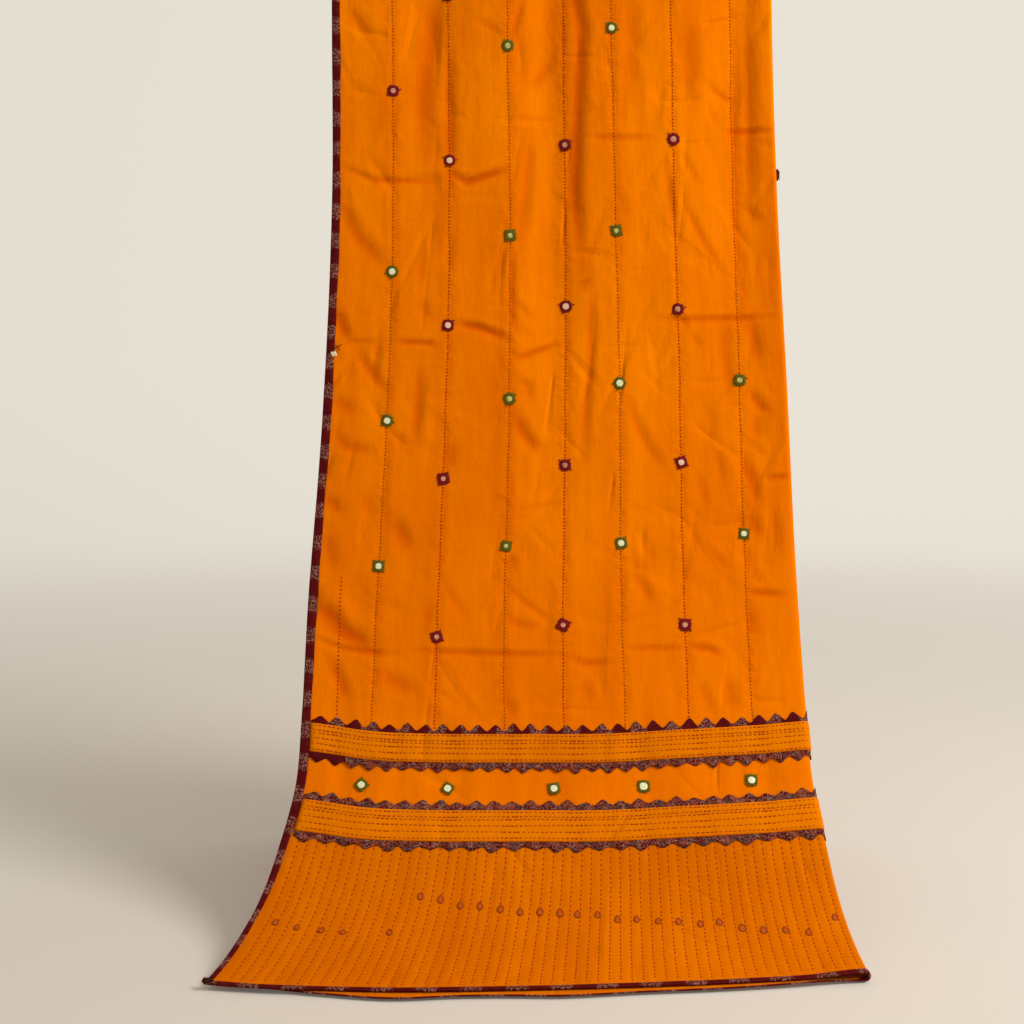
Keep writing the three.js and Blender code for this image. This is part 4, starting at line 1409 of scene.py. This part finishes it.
def add_dome(points, faces, outline, rings):
    """A low dome on an outline. Each ring is a share of the outline and a height."""
    first = len(points)
    points.append((0.0, 0.0, rings[0][1]))
    for share, height in rings[1:]:
        points.extend((x * share, y * share, height) for x, y in outline)
    count = len(outline)
    faces.extend((first, first + 1 + i, first + 1 + (i + 1) % count) for i in range(count))
    for ring in range(len(rings) - 2):
        start = first + 1 + ring * count
        for i in range(count):
            after = (i + 1) % count
            faces.append((start + i, start + count + i, start + count + after))
            faces.append((start + i, start + count + after, start + after))


def add_spoke(points, faces, angle, start, end, half_width):
    """One stitch from the glass out to the cloth, with a rounded back."""
    run = np.array([math.cos(angle), math.sin(angle), 0.0])
    beside = np.array([-math.sin(angle), math.cos(angle), 0.0])
    first = len(points)
    for share, height in ((0.0, 0.95), (0.45, 1.25), (1.0, 0.2)):
        centre = run * (start + (end - start) * share)
        for offset, rise in ((-1, -0.5), (0, 0.35), (1, -0.5)):
            point = centre + beside * half_width * offset * (0.8 if share == 0 else 1.0)
            points.append((point[0], point[1], height + rise * 0.7))
    for step in (0, 3):
        for corner in (0, 1):
            a = first + step + corner
            faces.append((a, a + 3, a + 4))
            faces.append((a, a + 4, a + 1))


def add_loop(points, faces, outline, height, thickness):
    """A round of thread on an outline, as a closed three-sided tube."""
    first = len(points)
    count = len(outline)
    for x, y in outline:
        reach = math.hypot(x, y)
        for outwards, rise in ((-thickness, 0.0), (0.0, thickness), (thickness, 0.0)):
            share = (reach + outwards) / reach
            points.append((x * share, y * share, height + rise))
    for i in range(count):
        a = first + 3 * i
        b = first + 3 * ((i + 1) % count)
        for corner in range(3):
            after = (corner + 1) % 3
            faces.append((a + corner, a + after, b + after))
            faces.append((a + corner, b + after, b + corner))


def glass_disc(shape):
    points, faces = [], []
    outline = closed_outline(GLASS_RADIUS * shape["opening"] / FULL_OPENING, 16,
                             shape["squareness"] * OPENING_SQUARENESS)
    add_dome(points, faces, outline, [(0.0, 0.8), (0.6, 0.77), (1.0, 0.5), (1.08, 0.0)])
    return np.array(points), np.array(faces)


def ring_of_stitches(shape):
    """Buttonhole stitches that hold a mirror: short spokes over its edge, and two rounds of
    thread on the glass and on the cloth. Its faces are triangles."""
    points, faces = [], []
    squareness = shape["squareness"]
    for i in range(RING_STITCHES):
        angle = i * 2 * math.pi / RING_STITCHES
        out = CORNERS_OUT * squareness * math.cos(4 * angle)
        reach = RING_OUTER * (1 - out) + RING_UNEVENNESS * math.sin(i * 2.4)
        start = shape["opening"] * (1 - out * OPENING_SQUARENESS)
        add_spoke(points, faces, angle, start, reach, SPOKE_HALF_WIDTH)
    for tick in shape["ticks"]:
        add_spoke(points, faces, math.radians(tick), RING_OUTER, RING_OUTER + TICK_LENGTH,
                  TICK_HALF_WIDTH)
    inner = closed_outline(shape["opening"] + 0.2, 20, squareness * OPENING_SQUARENESS)
    add_loop(points, faces, inner, 0.85, 0.4)
    add_loop(points, faces, closed_outline(OUTER_ROUND, 20, squareness), 0.35, 0.5)
    return np.array(points), np.array(faces)


def placed(template, faces, across, along, turn, scale, lift):
    """Copies of a small template set on the cloth at many places, as one list of points."""
    point, side, forward, out = frames_at(across, along)
    cos, sin = np.cos(turn)[:, None], np.sin(turn)[:, None]
    first = side * cos + forward * sin
    second = np.cross(out, first)
    x = template[None, :, 0] * scale[:, None]
    y = template[None, :, 1] * scale[:, None]
    z = template[None, :, 2] + lift
    points = (point[:, None, :] + first[:, None, :] * x[..., None]
              + second[:, None, :] * y[..., None] + out[:, None, :] * z[..., None])
    starts = np.arange(len(across)) * len(template)
    all_faces = (faces[None, :, :] + starts[:, None, None]).reshape(-1, faces.shape[1])
    return points.reshape(-1, 3), all_faces


def merged(parts):
    """Several lists of points and faces as one."""
    starts = np.cumsum([0] + [len(points) for points, _ in parts[:-1]])
    points = np.concatenate([points for points, _ in parts])
    faces = np.concatenate([faces + start for (_, faces), start in zip(parts, starts)])
    return points, faces


def make_mirrors():
    places = mirror_places()
    across = np.array([place[0] for place in places], dtype=float)
    along = np.array([place[1] for place in places], dtype=float)
    colours = np.array([place[2] for place in places])
    looks = np.array([place[3] for place in places])
    spread = np.where(looks == "B", BORDER_TURN, FIELD_TURN)
    turn = draws.normal(0, 1, len(places)) * spread
    scale = draws.uniform(0.95, 1.07, len(places))
    version = draws.integers(0, 2, len(places))
    discs = {key: [] for key in GLASS}
    rings = {"green": [], "maroon": []}
    for colour, look, number in itertools.product(rings, RING_SHAPES, (0, 1)):
        picked = (colours == colour) & (looks == look) & (version == number)
        at = (across[picked], along[picked], turn[picked], scale[picked], MIRROR_LIFT)
        shape = RING_SHAPES[look][number]
        brightness = "dim" if look.islower() else "bright"
        discs[(colour, brightness)].append(placed(*glass_disc(shape), *at))
        rings[colour].append(placed(*ring_of_stitches(shape), *at))
    for (colour, brightness), parts in discs.items():
        name = f"mirror_discs_{brightness}_in_{colour}"
        disc_piece = new_piece(name, *merged(parts), [GLASS[(colour, brightness)]])
    for colour, parts in rings.items():
        ring_piece = new_piece(f"mirror_rings_{colour}", *merged(parts), [THREADS[colour]])


# ---- Small stitched motifs on the quilted panels ----

MOTIF_HALF_WIDTH = 2.7
MOTIF_HALF_HEIGHT = 4.3
ROUND_MOTIFS = 4
# Each motif's place on the outer layer: across and from the hem
MOTIFS = (
    (21, 94), (40, 91), (61, 90), (79, 89), (117, 91), (134, 135), (152, 132), (170, 125),
    (187, 124), (205, 120), (222, 116), (239, 116), (256, 114), (271, 112), (288, 111),
    (305, 104), (321, 103), (339, 99), (356, 97), (374, 92), (390, 93), (408, 83), (425, 78),
    (443, 76), (461, 70), (486, 87),
)


def motif_outline(stretch):
    """A plain bud: an oval that is narrower at the end towards the rod."""
    turn = np.arange(16) * 2 * math.pi / 16
    x = MOTIF_HALF_WIDTH * np.sin(turn) * (1 - 0.3 * np.cos(turn))
    y = MOTIF_HALF_HEIGHT * stretch * np.cos(turn)
    return np.stack([x, y], axis=-1)[::-1]


def make_motifs():
    outer = np.array(MOTIFS, dtype=float)
    is_round = np.arange(len(outer)) < ROUND_MOTIFS
    fills, outlines = [], []
    for end in ENDS:
        for across in (outer[:, 0], CLOTH_WIDTH - outer[:, 0]):
            along = from_hem(end, outer[:, 1])
            turn = draws.normal(0.0 if end == "front" else math.pi, 0.12, len(outer))
            scale = draws.uniform(0.88, 1.08, len(outer))
            for chosen, stretch in ((is_round, 0.8), (~is_round, 1.0)):
                at = (across[chosen], along[chosen], turn[chosen], scale[chosen], 0.0)
                points, faces = [], []
                add_dome(points, faces, motif_outline(stretch), [(0, 0.4), (0.7, 0.35), (1, 0.05)])
                fills.append(placed(np.array(points), np.array(faces), *at))
                points, faces = [], []
                add_loop(points, faces, motif_outline(stretch), 0.2, 0.5)
                outlines.append(placed(np.array(points), np.array(faces), *at))
    new_piece("motif_fills", *merged(fills), [THREADS["rust"]])
    new_piece("motif_outlines", *merged(outlines), [THREADS["brown"]])


# ---- Signs of wear ----

def make_wear():
    """A worn spot on the outer edge's tape, mended with loose threads, and the knot of thread at
    the front hem's corner."""
    across = np.array([5.0, 6.2, 7.4, 8.6, 9.8])
    spot = make_stitches("worn_spot", across, 701 + 0.8 * np.sin(across * 3), math.pi / 2,
                         np.array([5.0, 6.5, 7.0, 6.5, 5.0]), 1.5, 1.3, THREADS["cream"])
    across = np.array([9.0, 11.0, 12.5, 6.0, 14.0])
    along = np.array([708.0, 709.5, 706.0, 710.0, 711.0])
    mend = make_stitches("worn_spot_threads", across, along, np.array([0.3, -0.5, 0.9, 0.1, 0.6]),
                         np.array([6.0, 5.0, 4.0, 7.0, 4.5]), 0.9, 1.4, THREADS["maroon"])
    turn = np.array([0.2, 0.9, 1.7, 2.5, 0.5, 2.0])
    knot = make_stitches("corner_knot", np.array([1.0, 1.5, 1.0, 0.5, 2.0, 0.0]),
                         np.array([1.0, 1.5, 0.5, 1.0, 2.0, 1.0]), turn, 9.5, 4.6, 1.6,
                         THREADS["dark"])


# ---- The rod ----

def finish_rod():
    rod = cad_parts["hanging_rod"]
    rod.data.materials.clear()
    rod.data.materials.append(wood_material("wood"))


# ---- Stage, light and camera ----

# The camera's place from the front hem, in metres
CAMERA_FROM_HEM = (-0.043, -1.3826, 0.5508)
CAMERA_PITCH_DOWN = math.radians(5.5)
FOCAL_PIXELS = 1650.0
IMAGE_PIXELS = 1024
SENSOR_WIDTH = 36.0
FLOOR_REACH = 60.0


def make_floor():
    low = cad_box[0][2] / METRES_PER_MM
    reach = FLOOR_REACH / METRES_PER_MM
    points = np.array([(-reach, -reach, low), (reach, -reach, low), (reach, reach, low),
                       (-reach, reach, low)])
    mesh = bpy.data.meshes.new("floor")
    mesh.from_pydata((points * METRES_PER_MM).tolist(), [], [(0, 1, 2, 3)])
    floor = bpy.data.objects.new("floor", mesh)
    mesh.materials.append(floor_material("pale_floor"))
    bpy.context.scene.collection.objects.link(floor)


def make_camera():
    data = bpy.data.cameras.new("camera")
    data.sensor_width = SENSOR_WIDTH
    data.lens = SENSOR_WIDTH * FOCAL_PIXELS / IMAGE_PIXELS
    data.clip_end = 200.0
    camera = bpy.data.objects.new("camera", data)
    camera.location = (
        CAMERA_FROM_HEM[0],
        HEM_Y * METRES_PER_MM + CAMERA_FROM_HEM[1],
        HEM_Z * METRES_PER_MM + CAMERA_FROM_HEM[2],
    )
    camera.rotation_euler = (math.pi / 2 - CAMERA_PITCH_DOWN, 0, 0)
    bpy.context.scene.collection.objects.link(camera)
    bpy.context.scene.camera = camera


def add_light(name, place, aim, size, watts, colour):
    data = bpy.data.lights.new(name, "AREA")
    data.shape = "DISK"
    data.size = size
    data.energy = watts
    data.color = colour
    light = bpy.data.objects.new(name, data)
    light.location = place
    direction = np.array(aim, dtype=float) - np.array(place, dtype=float)
    flat = math.hypot(direction[0], direction[1])
    light.rotation_euler = (
        math.pi / 2 + math.atan2(direction[2], flat), 0, math.atan2(-direction[0], direction[1]))
    bpy.context.scene.collection.objects.link(light)


# One soft key light, in metres and watts. The rest is the pale surroundings.
KEY_PLACE = (2.1, -1.25, 1.0)
KEY_AIM = (0.0, -0.1, -0.6)
KEY_SIZE = 1.5
KEY_WATTS = 78
KEY_COLOUR = (1.0, 0.98, 0.94)


def make_light():
    add_light("key_light", KEY_PLACE, KEY_AIM, KEY_SIZE, KEY_WATTS, KEY_COLOUR)
    world = bpy.data.worlds.new("pale_world")
    world.use_nodes = True
    tree = world.node_tree
    background = tree.nodes["Background"]
    background.inputs["Color"].default_value = (*SURROUNDINGS, 1.0)
    direction = tree.nodes.new("ShaderNodeTexCoord").outputs["Generated"]
    tree.links.new(glow_towards(tree, direction), background.inputs["Strength"])
    bpy.context.scene.world = world
    bpy.context.scene.view_settings.view_transform = "Standard"


# ---- All of it ----


make_camera()
make_floor()
make_light()
finish_rod()
field_piece = make_field()
strip_pieces = [make_mirror_strip(end) for end in ENDS]
panel_pieces = [make_end_panel(end) for end in ENDS]
trim_pieces = [make_sawtooth(name, end) for end in ENDS for name in BANDS]
trim_pieces += [make_band(name, end) for end in ENDS for name in BANDS]
trim_pieces += [make_hem_binding(end) for end in ENDS]
trim_pieces += [make_edge_binding(layer) for layer in ("outer", "inner")]
make_field_stitches()
for end_name in ENDS:
    make_panel_stitches(end_name)
    for band_name in BANDS:
        make_band_stitches(band_name, end_name)
make_mirrors()
make_motifs()
make_wear()
